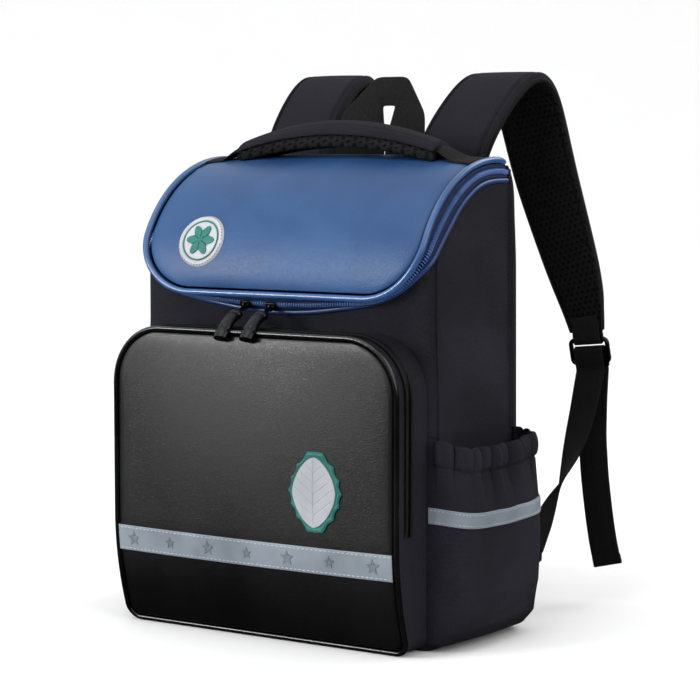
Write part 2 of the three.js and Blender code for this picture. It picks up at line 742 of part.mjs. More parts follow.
const pocketZipY = -halfDepth - POCKET_DEPTH * POCKET_ZIP_PLACE;
function pocketZip() {
  const run = outline.filter((p) => p.z >= POCKET_ZIP_END);
  const section = oblong(POCKET_ZIP_WIDTH, 0, TAPE);
  const rings = run.map((p) => {
    const centre = outlinePoint(p, pocketZipY, -GAP);
    return ring(centre, vec(0, 1, 0), vec(p.nx, 0, p.nz), section);
  });
  return sweep(rings);
}

function pocketSlider() {
  const place = {
    middle: vec(-pocketHalf - GAP - TAPE, pocketZipY, POCKET_ZIP_END + SLIDER_LENGTH),
    along: vec(0, 0, 1),
    across: vec(0, 1, 0),
    out: vec(-1, 0, 0),
  };
  return slider(place, GAP);
}

add("pocket_panel", pocketPanel(), blackLeather());
add("pocket_piping", pocketPiping(), blackPlastic());
add("pocket_gusset", pocketGusset(), cloth());
add("pocket_zip", pocketZip(), blackWebbing());
add("pocket_slider", pocketSlider(), blackPlastic());

// The strip across the pocket's front, with its row of raised stars.
function star(r) {
  const notch = STAR_NOTCH * r;
  const corners = turns(10).map((angle, i) => {
    const length = i % 2 ? notch : r;
    return new THREE.Vector2(-length * Math.sin(angle), length * Math.cos(angle));
  });
  return new THREE.Shape(corners);
}

function frontStrip() {
  const top = GAP + STRIP_THICKNESS;
  const pieces = [layer(onPanel, [FRONT_STRIP_LOW, stripHigh], panelColumns, GAP, top)];
  const first = (-STAR_PITCH * (STAR_COUNT - 1)) / 2;
  for (let i = 0; i < STAR_COUNT; i++) {
    const x = first + i * STAR_PITCH;
    const low = pocketFront(x, FRONT_STRIP_LOW, top);
    const high = pocketFront(x, stripHigh, top);
    const up = high.clone().sub(low).normalize();
    const right = pocketFront(x + 1, stripHigh, 0).sub(pocketFront(x - 1, stripHigh, 0));
    right.addScaledVector(up, -right.dot(up)).normalize();
    const out = right.clone().cross(up);
    const origin = low.clone().lerp(high, 0.5).addScaledVector(out, -STRIP_THICKNESS / 2);
    const depth = STRIP_THICKNESS / 2 + STAR_RAISED;
    const size = i % 2 ? SMALL_STAR * STAR_R : STAR_R;
    pieces.push(plate(star(size), depth, frameAt(origin, right, up, out)));
  }
  return joined(pieces);
}

const onPatch = (a, b, lift) =>
  pocketFront(PATCH_FROM_CENTRE + a, PATCH_CENTRE_HEIGHT + b, lift);
// The radius of an upright leaf by angle, with a scalloped edge.
function leafRadius(share, scallop) {
  return (angle) => {
    const a = (share * PATCH_WIDTH) / 2;
    const b = (share * PATCH_HEIGHT) / 2;
    const oval = (a * b) / Math.hypot(b * Math.cos(angle), a * Math.sin(angle));
    return oval * (1 - scallop * Math.abs(Math.sin((SCALLOPS / 2) * angle)));
  };
}
const patchTop = GAP + PATCH_THICKNESS;
const leafTop = patchTop + GAP + RAISED;

add("front_strip", frontStrip(), reflective());
const scalloped = leafRadius(1, SCALLOP_DEPTH);
const patchBase = onSurface(onPatch, scalloped, GAP, patchTop, 2 * SCALLOPS);
add("patch_base", patchBase, tealRubber());
const leaf = onSurface(onPatch, leafRadius(LEAF_SHARE, 0), patchTop + GAP, leafTop, 20);
add("patch_leaf", leaf, silverRubber());

// Side pockets

// A side pocket's plan, at a share of the way round it from its front seam to its back
// seam: y, how far it stands out as a share of its depth, and its normal.
const pocketReach = halfDepth - 1;
const bellows = SIDE_POCKET_DEPTH - SIDE_POCKET_CORNER;
const cornerArc = quarter * SIDE_POCKET_CORNER;
const flatRun = 2 * (pocketReach - SIDE_POCKET_CORNER);
const girth = 2 * bellows + 2 * cornerArc + flatRun;
function sidePlan(q) {
  const run = Math.min(q, 1 - q) * girth;
  const mirror = q > 0.5 ? 1 : -1;
  if (run <= bellows) {
    return { y: mirror * pocketReach, out: run / SIDE_POCKET_DEPTH, nx: 0, ny: mirror };
  }
  const angle = (run - bellows) / SIDE_POCKET_CORNER;
  const middle = pocketReach - SIDE_POCKET_CORNER;
  if (angle <= quarter) {
    const y = mirror * (middle + SIDE_POCKET_CORNER * Math.cos(angle));
    const out = (bellows + SIDE_POCKET_CORNER * Math.sin(angle)) / SIDE_POCKET_DEPTH;
    return { y, out, nx: Math.sin(angle), ny: mirror * Math.cos(angle) };
  }
  return { y: mirror * (middle - (run - bellows - cornerArc)), out: 1, nx: 1, ny: 0 };
}

// How full the pocket is, as a share of its depth, at a share of its height.
const swell = [
  { share: 0, out: 0 },
  { share: 0.03, out: 0.5 },
  { share: 0.1, out: 0.84 },
  { share: 0.28, out: 1 },
  { share: 0.6, out: 1 },
  { share: 0.714, out: 0.96 },
  { share: 0.86, out: 0.83 },
  { share: 1, out: 0.81 },
];
function swellAt(share) {
  const next = swell.findIndex((row) => row.share >= share);
  if (next <= 0) return swell[0].out;
  const [a, b] = [swell[next - 1], swell[next]];
  return mix(a.out, b.out, (share - a.share) / (b.share - a.share));
}

// A point on a side pocket, at a share of its height and of the way round it. The hem and
// the cloth under it are gathered into even folds.
const foldsFrom = 0.5;
const foldsFull = 1 - HEM / SIDE_POCKET_TOP;
function sidePocketPoint(share, q, lift) {
  const { y, out, nx, ny } = sidePlan(q);
  const along = y / pocketReach;
  const frontRise = SIDE_POCKET_FRONT_RISE * Math.max(0, -along) ** 5;
  const backRise = SIDE_POCKET_BACK_RISE * Math.max(0, along) ** 2;
  const floor = Math.max(0, -lift) * (1 - smooth(share / 0.1));
  const z = mix(SIDE_POCKET_FOOT, SIDE_POCKET_TOP + frontRise + backRise, share) + floor;
  const fullness = swellAt(share) * mix(FRONT_FULLNESS, 1, smooth(along + 1));
  const gathered = smooth((share - foldsFrom) / (foldsFull - foldsFrom));
  const wave = (Math.cos(4 * quarter * GATHERS * q) - 1) / 2;
  const ends = Math.sin(2 * quarter * q);
  const move = lift + GATHER_DEPTH * gathered * wave * ends;
  const reach = Math.max(0, out * SIDE_POCKET_DEPTH * fullness + move * nx);
  const moved = y + move * ny;
  const fromMiddle = Math.min(Math.abs(moved), pocketReach);
  const intoCorner = Math.max(0, fromMiddle - (halfDepth - BODY_CORNER));
  const side = frontRun + Math.sqrt(BODY_CORNER ** 2 - intoCorner ** 2);
  return vec(side + GAP + reach, moved, z);
}

const pocketRise = SIDE_POCKET_TOP - SIDE_POCKET_FOOT;
const footShare = (height) => (height - SIDE_POCKET_FOOT) / pocketRise;
const stripRows = [footShare(SIDE_STRIP_LOW), footShare(SIDE_STRIP_LOW + SIDE_STRIP_WIDTH)];
const pocketRows = [0, 0.03, 0.1, 0.28, ...stripRows, 0.86, 1];
const pocketColumns = shares(4 * GATHERS);
sides.forEach(({ name, sign }) => {
  const pocket = layer(sidePocketPoint, pocketRows, pocketColumns, -CLOTH, 0);
  add(`side_pocket_${name}`, onSide(pocket, sign), cloth());
  const columns = pocketColumns.slice(1, -1);
  const strip = layer(sidePocketPoint, stripRows, columns, GAP, GAP + STRIP_THICKNESS);
  add(`side_strip_${name}`, onSide(strip, sign), reflective());
});

// Grab handle

const handleY = halfDepth - HANDLE_FROM_BACK;
const handleEndZ = LID_TOP + 2;
const padHalf = HANDLE_PAD_SPAN / 2;
const handleArch = (x) => 1 - (x / (HANDLE_SPAN / 2)) ** 2;
function handlePoint(x, v, lift) {
  const bow = HANDLE_BOW * v ** 2 * handleArch(x);
  const thick = lift * mix(HANDLE_THIN, 1, handleArch(x));
  const z = handleEndZ + HANDLE_RISE * handleArch(x) - bow + thick;
  return vec(x, handleY + (v * HANDLE_WIDTH) / 2, z);
}
const handleColumns = spread(-1, 1, 4);
const handleRows = spread(-padHalf, padHalf, 10);
const liningTop = -HANDLE_PAD - GAP / HANDLE_THIN;
const liningLow = liningTop - HANDLE_LINING;
const lining = layer(handlePoint, handleRows, handleColumns, liningLow, liningTop);
add("handle_pad", layer(handlePoint, handleRows, handleColumns, -HANDLE_PAD, 0), cloth());
add("handle_lining", lining, spacerMesh());

// A tab runs from the middle of the pad's end down to the lid and along it.
function handleTabPoint(x, v, lift) {
  const y = handleY + (v * WEBBING_WIDTH) / 2;
  const onLid = lidHeight(x, y) + GAP;
  const padMiddle = handlePoint(padHalf, v, -(HANDLE_PAD + HANDLE_LINING) / 2).z;
  const slope = HANDLE_TAB_SLOPE * (halfWidth - HANDLE_TAB_END - padHalf);
  const settled = smooth((x - padHalf) / slope);
  return vec(x, y, mix(padMiddle, onLid, settled) + lift);
}
sides.forEach(({ name, sign }) => {
  const rows = spread(padHalf + GAP, halfWidth - HANDLE_TAB_END, 8);
  const tab = layer(handleTabPoint, rows, spread(-1, 1, 3), 0, WEBBING);
  add(`handle_tab_${name}`, onSide(tab, sign), blackWebbing());
});

// Hang loop: webbing folded over itself, its two feet apart on the yoke.
function hangLoop() {
  const eyeTop = LOOP_TOP - LOOP_EYE_DROP;
  const bend = LOOP_TOP - LOOP_BEND_DROP;
  const inner = LOOP_SPREAD - WEBBING_WIDTH;
  const corners = [
    [-LOOP_SPREAD, LOOP_FOOT],
    [-inner, LOOP_FOOT],
    [LOOP_LEAN - LOOP_EYE_HALF, eyeTop],
    [LOOP_LEAN + LOOP_EYE_HALF, eyeTop],
    [inner, LOOP_FOOT],
    [LOOP_SPREAD, LOOP_FOOT],
    [LOOP_SPREAD - LOOP_LEAN, bend],
    [LOOP_LEAN + LOOP_TOP_HALF, LOOP_TOP],
    [LOOP_LEAN - LOOP_TOP_HALF, LOOP_TOP],
    [-LOOP_SPREAD + LOOP_LEAN, bend],
  ];
  const shape = new THREE.Shape(corners.map(([x, z]) => new THREE.Vector2(x, z - LOOP_FOOT)));
  const tilt = THREE.MathUtils.degToRad(LOOP_TILT);
  const up = vec(0, Math.sin(tilt), Math.cos(tilt));
  const out = vec(0, -Math.cos(tilt), Math.sin(tilt));
  const foot = vec(0, yokeBackY + GAP + LOOP_THICKNESS, LOOP_FOOT);
  return plate(shape, LOOP_THICKNESS, frameAt(foot, vec(1, 0, 0), up, out));
}
add("hang_loop", hangLoop(), blackWebbing());

// Shoulder straps

// The strap's line, foot to tip: how far back, how high between foot or tip and the
// crest, how far out sideways, and its width between the tip's and the full one.
const strapLine = [
  { back: 0, up: 0, out: 0, wide: 1, rising: true },
  { back: 0, up: 0.2, out: 0, wide: 1, rising: true },
  { back: 0.03, up: 0.42, out: 0, wide: 1, rising: true },
  { back: 0.12, up: 0.61, out: 0.01, wide: 1, rising: true },
  { back: 0.27, up: 0.79, out: 0.03, wide: 1, rising: true },
  { back: 0.42, up: 0.92, out: 0.05, wide: 1, rising: true },
  { back: 0.56, up: 0.985, out: 0.07, wide: 1, rising: true },
  { back: 0.68, up: 1, out: 0.09, wide: 0.96, rising: true },
  { back: 0.79, up: 0.965, out: 0.12, wide: 0.92, rising: false },
  { back: 0.86, up: 0.9, out: 0.16, wide: 0.88, rising: false },
  { back: 0.9, up: 0.8, out: 0.22, wide: 0.84, rising: false },
  { back: 0.92, up: 0.62, out: 0.38, wide: 0.78, rising: false },
  { back: 0.935, up: 0.42, out: 0.61, wide: 0.65, rising: false },
  { back: 0.955, up: 0.22, out: 0.84, wide: 0.48, rising: false },
  { back: 0.98, up: 0.08, out: 0.97, wide: 0.2, rising: false },
  { back: 1, up: 0, out: 1, wide: 0, rising: false },
];
const strapFootY = yokeBackY + 2 * GAP + STRAP_PAD;
const strapPoints = strapLine.map(({ back, up, out, rising }) => {
  const x = STRAP_FROM_CENTRE + STRAP_FLARE * out;
  const low = rising ? STRAP_FOOT : STRAP_TIP;
  return vec(x, strapFootY + STRAP_REACH * back, mix(low, STRAP_TOP, up));
});
// The frames along a line of points: the directions along it, across it and out of it.
function framesAlong(points, across) {
  return points.map((centre, i) => {
    const before = points[Math.max(i - 1, 0)];
    const after = points[Math.min(i + 1, points.length - 1)];
    const along = after.clone().sub(before).normalize();
    const wide = across(i).clone().addScaledVector(along, -across(i).dot(along)).normalize();
    return { centre, along, across: wide, out: wide.clone().cross(along) };
  });
}
const strapFrames = framesAlong(strapPoints, () => vec(1, 0, 0));
function strapLayer(low, high) {
  const rings = strapFrames.map(({ centre, across, out }, i) => {
    const width = mix(STRAP_TIP_WIDTH, STRAP_WIDTH, strapLine[i].wide);
    return ring(centre, across, out, oblong(width, low, high));
  });
  return sweep(rings);
}

// The buckle hangs from the strap's tip, in the frame of the strap's end.
const tip = strapFrames[strapFrames.length - 1];
const tipPoint = (down, out) =>
  tip.centre.clone().addScaledVector(tip.along, down).addScaledVector(tip.out, out);
const topBar = BUCKLE_DROP + BUCKLE_BAR / 2;
const middleBar = topBar + BUCKLE_BAR + BUCKLE_SLOT;
const buckleEnd = BUCKLE_DROP + 3 * BUCKLE_BAR + 2 * BUCKLE_SLOT;

const rectangle = (half, from, to) =>
  oblong(2 * half, from, to).map(([a, b]) => new THREE.Vector2(a, b));
function buckle() {
  const shape = new THREE.Shape(rectangle(BUCKLE_WIDTH / 2, BUCKLE_DROP, buckleEnd));
  for (const bar of [topBar, middleBar]) {
    const from = bar + BUCKLE_BAR / 2;
    const slot = rectangle(WEBBING_WIDTH / 2 + 2 * GAP, from, from + BUCKLE_SLOT);
    shape.holes.push(new THREE.Path(slot));
  }
  const origin = tipPoint(0, -BUCKLE_THICKNESS / 2);
  return plate(shape, BUCKLE_THICKNESS, frameAt(origin, tip.across, tip.along, tip.out));
}

// Webbing folds round a bar at a radius that clears the bar's corners.
const foldR = Math.hypot(BUCKLE_BAR, BUCKLE_THICKNESS) / 2 + GAP + WEBBING / 2;
const bandRing = (centre, across, normal) =>
  ring(centre, across, normal, oblong(WEBBING_WIDTH, -WEBBING / 2, WEBBING / 2));

function buckleTab() {
  const rings = shares(6).map((t) => {
    const angle = 2 * quarter * t;
    const normal = tip.along.clone().multiplyScalar(Math.sin(angle));
    normal.addScaledVector(tip.out, Math.cos(angle));
    const centre = tipPoint(topBar + foldR * Math.sin(angle), foldR * Math.cos(angle));
    return bandRing(centre, tip.across, normal);
  });
  for (const side of [-1, 1]) {
    const normal = tip.out.clone().multiplyScalar(side).sub(tip.along).normalize();
    rings.push(bandRing(tipPoint(GAP + WEBBING, side * foldR), tip.across, normal));
  }
  return sweep(rings, true);
}

// The anchor: a cloth tab at the bag's foot, behind the side pocket.
const anchorAway = vec(0, 1, 0);
const anchorFace = BACK_PAD_WIDTH / 2 + 2 * GAP; // its inner face, clear of the back panel
const anchorRoot = vec(anchorFace + ANCHOR_THICKNESS / 2, pocketReach + GAP, ANCHOR_MIDDLE);
const anchorTip = anchorRoot.clone().addScaledVector(anchorAway, ANCHOR_REACH);
const upward = vec(0, 0, 1);
const anchorSide = anchorAway.clone().cross(upward);
function anchor() {
  const tipHalf = WEBBING_WIDTH / 2 + 1;
  const corners = [
    [0, -ANCHOR_HEIGHT / 2],
    [ANCHOR_REACH, -tipHalf],
    [ANCHOR_REACH, tipHalf],
    [0, ANCHOR_HEIGHT / 2],
  ];
  const shape = new THREE.Shape(corners.map(([a, b]) => new THREE.Vector2(a, b)));
  const origin = anchorRoot.clone().addScaledVector(anchorSide, -ANCHOR_THICKNESS / 2);
  return plate(shape, ANCHOR_THICKNESS, frameAt(origin, anchorAway, upward, anchorSide));
}

// The webbing's lower run, from the anchor to the buckle's back: how far along, how far
// it bows away from the bag, and how much of its quarter turn it has made.
const lowerRun = [
  { share: 0, bow: 0, turn: 0 },
  { share: 0.15, bow: 0.01, turn: 0 },
  { share: 0.3, bow: 0.07, turn: 0.35 },
  { share: 0.45, bow: 0.085, turn: 0.6 },
  { share: 0.6, bow: 0.08, turn: 0.8 },
  { share: 0.78, bow: 0.055, turn: 0.93 },
  { share: 0.9, bow: 0.025, turn: 0.98 },
  { share: 1, bow: 0, turn: 1 },
];
// The free end, from the buckle's front to its hem, in shares of its fall.
const freeRun = [
  { down: 0.15, out: -0.01, back: 0.005 },
  { down: 0.35, out: -0.015, back: 0.01 },
  { down: 0.55, out: 0, back: 0.01 },
  { down: 0.75, out: 0.03, back: 0.005 },
  { down: 0.88, out: 0.055, back: 0 },
  { down: 1, out: 0.085, back: 0 },
];
function webbing() {
  const stops = [];
  const push = (point, across) => stops.push({ point, across });
  const start = anchorTip.clone().addScaledVector(anchorAway, -WEBBING_WIDTH / 2);
  start.addScaledVector(anchorSide, (ANCHOR_THICKNESS + WEBBING) / 2 + GAP);
  const buckleBack = tipPoint(buckleEnd + BUCKLE_BAR, -foldR);
  const run = start.distanceTo(buckleBack);
  const flat = anchorSide.clone().cross(buckleBack.clone().sub(start)).normalize();
  for (const { share, bow, turn } of lowerRun) {
    const point = start.clone().lerp(buckleBack, share).add(vec(0, run * bow, 0));
    push(point, flat.clone().lerp(tip.across, turn).normalize());
  }
  for (const t of shares(6)) {
    const angle = 2 * quarter * t;
    const down = middleBar - foldR * Math.sin(angle);
    push(tipPoint(down, -foldR * Math.cos(angle)), tip.across);
  }
  const buckleFront = tipPoint(buckleEnd + BUCKLE_BAR, foldR);
  push(buckleFront, tip.across);
  const fall = buckleFront.z - FREE_END_LOW;
  for (const { down, out, back } of freeRun) {
    const point = buckleFront.clone().add(vec(out * fall, back * fall, -down * fall));
    push(point, tip.across);
  }
  const points = stops.map((stop) => stop.point);
  const frames = framesAlong(points, (i) => stops[i].across);
  return sweep(frames.map((at) => bandRing(at.centre, at.across, at.out)));
}

sides.forEach(({ name, sign }) => {
  const put = (piece, solid, material) => add(`${piece}_${name}`, onSide(solid, sign), material);
  put("strap", strapLayer(GAP / 2, GAP / 2 + STRAP_PAD), cloth());
  put("strap_lining", strapLayer(-GAP / 2 - STRAP_LINING, -GAP / 2), spacerMesh());
  put("buckle", buckle(), blackPlastic());
  put("buckle_tab", buckleTab(), blackWebbing());
  put("webbing", webbing(), blackWebbing());
  put("anchor", anchor(), cloth());
});

export default bag;
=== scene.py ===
# %% [markdown]
# # A child's school backpack
# The bag is a box of oxford cloth with a smooth blue hood for a lid, a black front pocket,
# two gathered side pockets and padded shoulder straps. Its solids were drawn beforehand,
# in plain form. This lesson dresses them: every soft part is built again as a finely
# curved surface, and each cloth, leather, webbing and rubber gets its own finish. We start
# by loading the solids, which say where everything sits.

# %% Tools and the frame
import json

import bpy
import numpy as np
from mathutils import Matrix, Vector

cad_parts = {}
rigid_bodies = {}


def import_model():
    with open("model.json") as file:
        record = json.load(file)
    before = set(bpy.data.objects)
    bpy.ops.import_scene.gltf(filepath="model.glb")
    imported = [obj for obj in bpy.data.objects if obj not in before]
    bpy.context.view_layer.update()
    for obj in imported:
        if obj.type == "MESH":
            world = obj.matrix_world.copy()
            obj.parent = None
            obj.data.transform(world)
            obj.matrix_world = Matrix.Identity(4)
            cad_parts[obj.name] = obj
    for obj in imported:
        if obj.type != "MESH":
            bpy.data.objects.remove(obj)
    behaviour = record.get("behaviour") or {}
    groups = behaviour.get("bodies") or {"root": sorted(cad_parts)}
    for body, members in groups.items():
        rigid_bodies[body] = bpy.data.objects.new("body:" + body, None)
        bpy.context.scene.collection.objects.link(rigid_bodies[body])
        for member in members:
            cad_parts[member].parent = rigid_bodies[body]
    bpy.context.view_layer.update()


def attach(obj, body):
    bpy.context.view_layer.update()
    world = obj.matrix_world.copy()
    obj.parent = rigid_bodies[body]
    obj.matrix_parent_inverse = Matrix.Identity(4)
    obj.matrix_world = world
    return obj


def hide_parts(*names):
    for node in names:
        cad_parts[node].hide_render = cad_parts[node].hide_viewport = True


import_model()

# %% [markdown]
# ## Camera
# The photograph was taken towards the bag's front right corner, almost level with it, from
# about two metres away. A camera could be aimed by hand or by a tracking constraint. Two
# angles, a place and a focal length were worked out from the bag's corners instead, so that
# the render and the photograph can be laid over each other.

# %% Camera
AZIMUTH, ELEVATION = np.radians((34.04, 5.01))
FOCAL_LENGTH, CAMERA_PLACE = 118.43, (1.1024, -1.5982, 0.4006)
back = Vector((
    np.sin(AZIMUTH) * np.cos(ELEVATION),
    -np.cos(AZIMUTH) * np.cos(ELEVATION),
    np.sin(ELEVATION),
))
camera = bpy.data.objects.new("camera", bpy.data.cameras.new("camera"))
camera.data.lens = FOCAL_LENGTH
camera.location = CAMERA_PLACE
camera.rotation_euler = (-back).to_track_quat("-Z", "Y").to_euler()
bpy.context.scene.collection.objects.link(camera)
bpy.context.scene.camera = camera
bpy.context.scene.view_settings.view_transform = "Standard"
print("camera:", round(camera.location.length, 2), "m from the foot of the bag")

# %% [markdown]
# ## Measures and small helpers
# Cloth, leather, tape and webbing each have one thickness all over the bag, so each is
# written once, in millimetres. Flat meshes could be bent with modifiers or sculpted by
# hand. Formulas on whole arrays were chosen, because a few small functions, such as an even
# step, a mix of two values and a bell curve, then give every bend, seam and fold.

# %% Thicknesses and helpers
MM = 0.001
QUARTER = np.pi / 2
GAP, CLOTH, LEATHER, TAPE, WEBBING = 0.4, 2.0, 2.4, 1.2, 1.5
WEBBING_HALF = 14.0
print("cloth, leather, tape and webbing:", (CLOTH, LEATHER, TAPE, WEBBING), "mm thick")


def smooth(t):
    """An even step from 0 to 1: three times the square less twice the cube."""
    t = np.clip(t, 0, 1)
    return t * t * (3 - 2 * t)


def mix(a, b, t):
    """The value a share t of the way from a to b."""
    return a + (b - a) * t


def ridge(t, middle, width):
    """A bell curve of height 1: e to the power of minus the squared distance from its
    middle, counted in widths."""
    return np.exp(-(((t - middle) / width) ** 2))


def unit(v):
    """Vectors divided by their lengths."""
    return v / np.maximum(np.linalg.norm(v, axis=-1, keepdims=True), 1e-9)


def points(x, y, z):
    """Three coordinates, of shapes that fit each other, as one array of points."""
    return np.stack(np.broadcast_arrays(x, y, z), axis=-1).astype(float)


# %% [markdown]
# ## From grids to meshes
# A bag is cut from flat cloth and sewn where edges meet. A mesh can be made the same way by
# hand, face by face, or as here from grids of points, each a function of two numbers. Where
# two grids or two ends of one grid meet, their points fall on each other and are welded, so
# that a skin, its lining and its edge become one closed piece. Each face also carries a
# map of the cloth laid flat, in metres, which the weaves and ribs follow later.

# %% Welded meshes
def unrolled(grid):
    """The grid laid flat: lengths measured along its middle column and along each row."""
    along = np.linalg.norm(np.diff(grid[:, grid.shape[1] // 2], axis=0), axis=-1)
    across = np.linalg.norm(np.diff(grid, axis=1), axis=-1)
    u = np.concatenate([[0], np.cumsum(along)])
    v = np.concatenate([np.zeros((len(grid), 1)), np.cumsum(across, axis=1)], axis=1)
    v = v - v[:, [grid.shape[1] // 2]]
    return np.stack([np.broadcast_to(u[:, None], v.shape), v], axis=-1) * MM


def corners(array, offset=0):
    """The four corners of each cell of a grid, as rows of four."""
    a = array + offset
    cells = [a[:-1, :-1], a[1:, :-1], a[1:, 1:], a[:-1, 1:]]
    return np.stack(cells, axis=2).reshape(-1, 4, *array.shape[2:])


def make_mesh(name, vertices, faces, flat):
    """A mesh from points, faces of four (a repeated corner makes a triangle) and a map.
    The signed volume, a sum of triple products, says whether to turn the faces round."""
    _, first, weld = np.unique(
        np.round(vertices, 3), axis=0, return_index=True, return_inverse=True
    )
    vertices = vertices[first]
    faces = weld.ravel()[faces]
    a, b, c, d = (vertices[faces[:, k]] for k in range(4))
    volume = np.einsum("ij,ij->i", a, np.cross(b, c)) + np.einsum("ij,ij->i", a, np.cross(c, d))
    if volume.sum() < 0:
        faces, flat = faces[:, ::-1], flat[:, ::-1]
    same = faces == np.roll(faces, -1, axis=1)
    whole, corner = same.sum(1) == 0, same.sum(1) == 1
    order = (np.argmax(same[corner], axis=1)[:, None] + 1 + np.arange(3)) % 4
    rows = np.arange(corner.sum())[:, None]
    loops = np.concatenate([faces[whole].ravel(), faces[corner][rows, order].ravel()])
    uvs = np.concatenate([flat[whole].reshape(-1, 2), flat[corner][rows, order].reshape(-1, 2)])
    sizes = np.concatenate([np.full(whole.sum(), 4), np.full(corner.sum(), 3)])
    mesh = bpy.data.meshes.new(name)
    mesh.vertices.add(len(vertices))
    mesh.vertices.foreach_set("co", (vertices * MM).astype(np.float32).ravel())
    mesh.loops.add(len(loops))
    mesh.loops.foreach_set("vertex_index", loops.astype(np.int32))
    mesh.polygons.add(len(sizes))
    starts = np.concatenate([[0], np.cumsum(sizes)[:-1]])
    mesh.polygons.foreach_set("loop_start", starts.astype(np.int32))
    layer = mesh.uv_layers.new(name="laid_flat")
    mesh.update(calc_edges=True)
    layer.data.foreach_set("uv", uvs.astype(np.float32).ravel())
    mesh.validate()
    mesh.shade_smooth()
    return mesh


# %% Pieces from meshes
SHARP = np.radians(50)
SHARP_MOULDED = np.radians(70)


def dress(name, mesh, material, slot, replaces=(), sharp=SHARP):
    """A finished piece: its mesh and finish, and the solids that it stands for. The slot is not used."""
    mesh.set_sharp_from_angle(angle=sharp)
    mesh.materials.append(material)
    piece = bpy.data.objects.new(name, mesh)
    bpy.context.scene.collection.objects.link(piece)
    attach(piece, "root")
    if replaces:
        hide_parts(*replaces)
    print(f"{name}: {len(mesh.polygons)} faces")
    return piece


def piece(name, grids, material, slot, replaces=(), sharp=SHARP):
    """One closed piece from several grids of points."""
    count, faces, flat = 0, [], []
    for grid in grids:
        index = np.arange(grid.shape[0] * grid.shape[1]).reshape(grid.shape[:2])
        faces.append(corners(index, count))
        flat.append(corners(unrolled(grid)))
        count += index.size
    vertices = np.concatenate([grid.reshape(-1, 3) for grid in grids])
    mesh = make_mesh(name, vertices, np.concatenate(faces), np.concatenate(flat))
    return dress(name, mesh, material, slot, replaces, sharp)


# %% [markdown]
# ## Panels and cords
# Leather, cloth and tape have an edge that rounds over, and a cord is round all along. A
# Solidify and a Bevel modifier, or a curve with a bevel, would give these. Two skins that
# come together in a quarter circle, and rings of points along a line, were chosen, because
# each edge can then be as thin, full or wavy as its own formula says.

# %% Edges that round over
def edged(low, high, count, round_over, steps=4):
    """Places from low to high, and how far the skins part there: a quarter circle that
    opens within round_over of each end, and 1 between."""
    turn = np.linspace(0, QUARTER, steps)
    near = round_over * (1 - np.cos(turn))
    middle = np.linspace(low + round_over, high - round_over, count)[1:-1]
    places = np.concatenate([low + near, middle, (high - near)[::-1]])
    open_by = np.concatenate([np.sin(turn), np.ones(len(middle)), np.sin(turn)[::-1]])
    return places, open_by


def row_places(count, first_open=0.8):
    """Every row of a band, and how far the skins part there: shut at both ends."""
    ends = [0, first_open]
    return np.arange(count), np.concatenate([ends, np.ones(count - 4), ends[::-1]])


def skins(surface, us, vs, low, high, meet=None):
    """The two skins of a panel: surface(u, v, lift) at a high and a low lift, which come
    together at the lift meet along its edges."""
    meet = (low + high) / 2 if meet is None else meet
    u, v = np.meshgrid(us[0], vs[0], indexing="ij")
    part = us[1][:, None] * vs[1][None, :]
    return [surface(u, v, meet + part * (lift - meet)) for lift in (high, low)]


# %% Lines and cords
def resampled(line, count):
    """A line of points again, evenly spaced along its length."""
    steps = np.linalg.norm(np.diff(line, axis=0), axis=-1)
    run = np.concatenate([[0], np.cumsum(steps)])
    at = np.linspace(0, run[-1], count)
    return np.stack([np.interp(at, run, line[:, k]) for k in range(line.shape[1])], axis=-1)


def eased(line, count, passes=40):
    """A smooth line near coarse points: each pass moves a point to a quarter of each
    neighbour and half of itself. Its two ends stay."""
    line = resampled(np.asarray(line, float), count)
    for _ in range(passes):
        line[1:-1] = (line[:-2] + 2 * line[1:-1] + line[2:]) / 4
    return line


def frames(line, hint, loop=False):
    """The directions along a line, across it near to hint, and out of it."""
    if loop:
        along = unit(np.roll(line, -1, axis=0) - np.roll(line, 1, axis=0))
    else:
        along = unit(np.gradient(line, axis=0))
    hint = np.broadcast_to(np.asarray(hint, float), line.shape)
    across = unit(hint - along * (hint * along).sum(-1, keepdims=True))
    return along, across, np.cross(across, along)


CAP_RINGS = 5


def cord_grid(line, hint, wide, high=None, sides=12, loop=False, profile=None):
    """A round or oval cord along a line: circles of points, scaled by a profile, drawn in
    to a point at both ends by quarter circles unless the line is a loop."""
    high = wide if high is None else high
    along, across, out = frames(line, hint, loop)
    size = np.ones(len(line)) if profile is None else profile
    centre = line
    if not loop:
        cap = np.linspace(0, QUARTER, CAP_RINGS)
        last, inside = len(line) - 1, np.arange(1, len(line) - 1)
        size = np.concatenate([size[0] * np.sin(cap), size[1:-1], size[-1] * np.sin(cap)[::-1]])
        pick = np.concatenate([np.zeros(CAP_RINGS, int), inside, np.full(CAP_RINGS, last)])
        back_by = np.concatenate([1 - np.cos(cap), 0.0 * inside, -(1 - np.cos(cap))[::-1]])
        centre = line[pick] + along[pick] * (back_by * min(wide, high))[:, None]
        along, across, out = along[pick], across[pick], out[pick]
    turn = np.linspace(0, 4 * QUARTER, sides + 1)
    grid = (
        centre[:, None]
        + across[:, None] * (np.cos(turn) * wide)[None, :, None] * size[:, None, None]
        + out[:, None] * (np.sin(turn) * high)[None, :, None] * size[:, None, None]
    )
    return np.concatenate([grid, grid[:1]]) if loop else grid


# %% [markdown]
# ## Stitches and teeth
# Thread dips into the cloth at both ends of each stitch, and a zip has hundreds of teeth
# that are all alike. Geometry nodes or an array modifier could set them out. Here one small
# shape of a few dozen faces is placed along a seam with array arithmetic, which keeps all
# stitches of a seam in one plain mesh that every program can read.

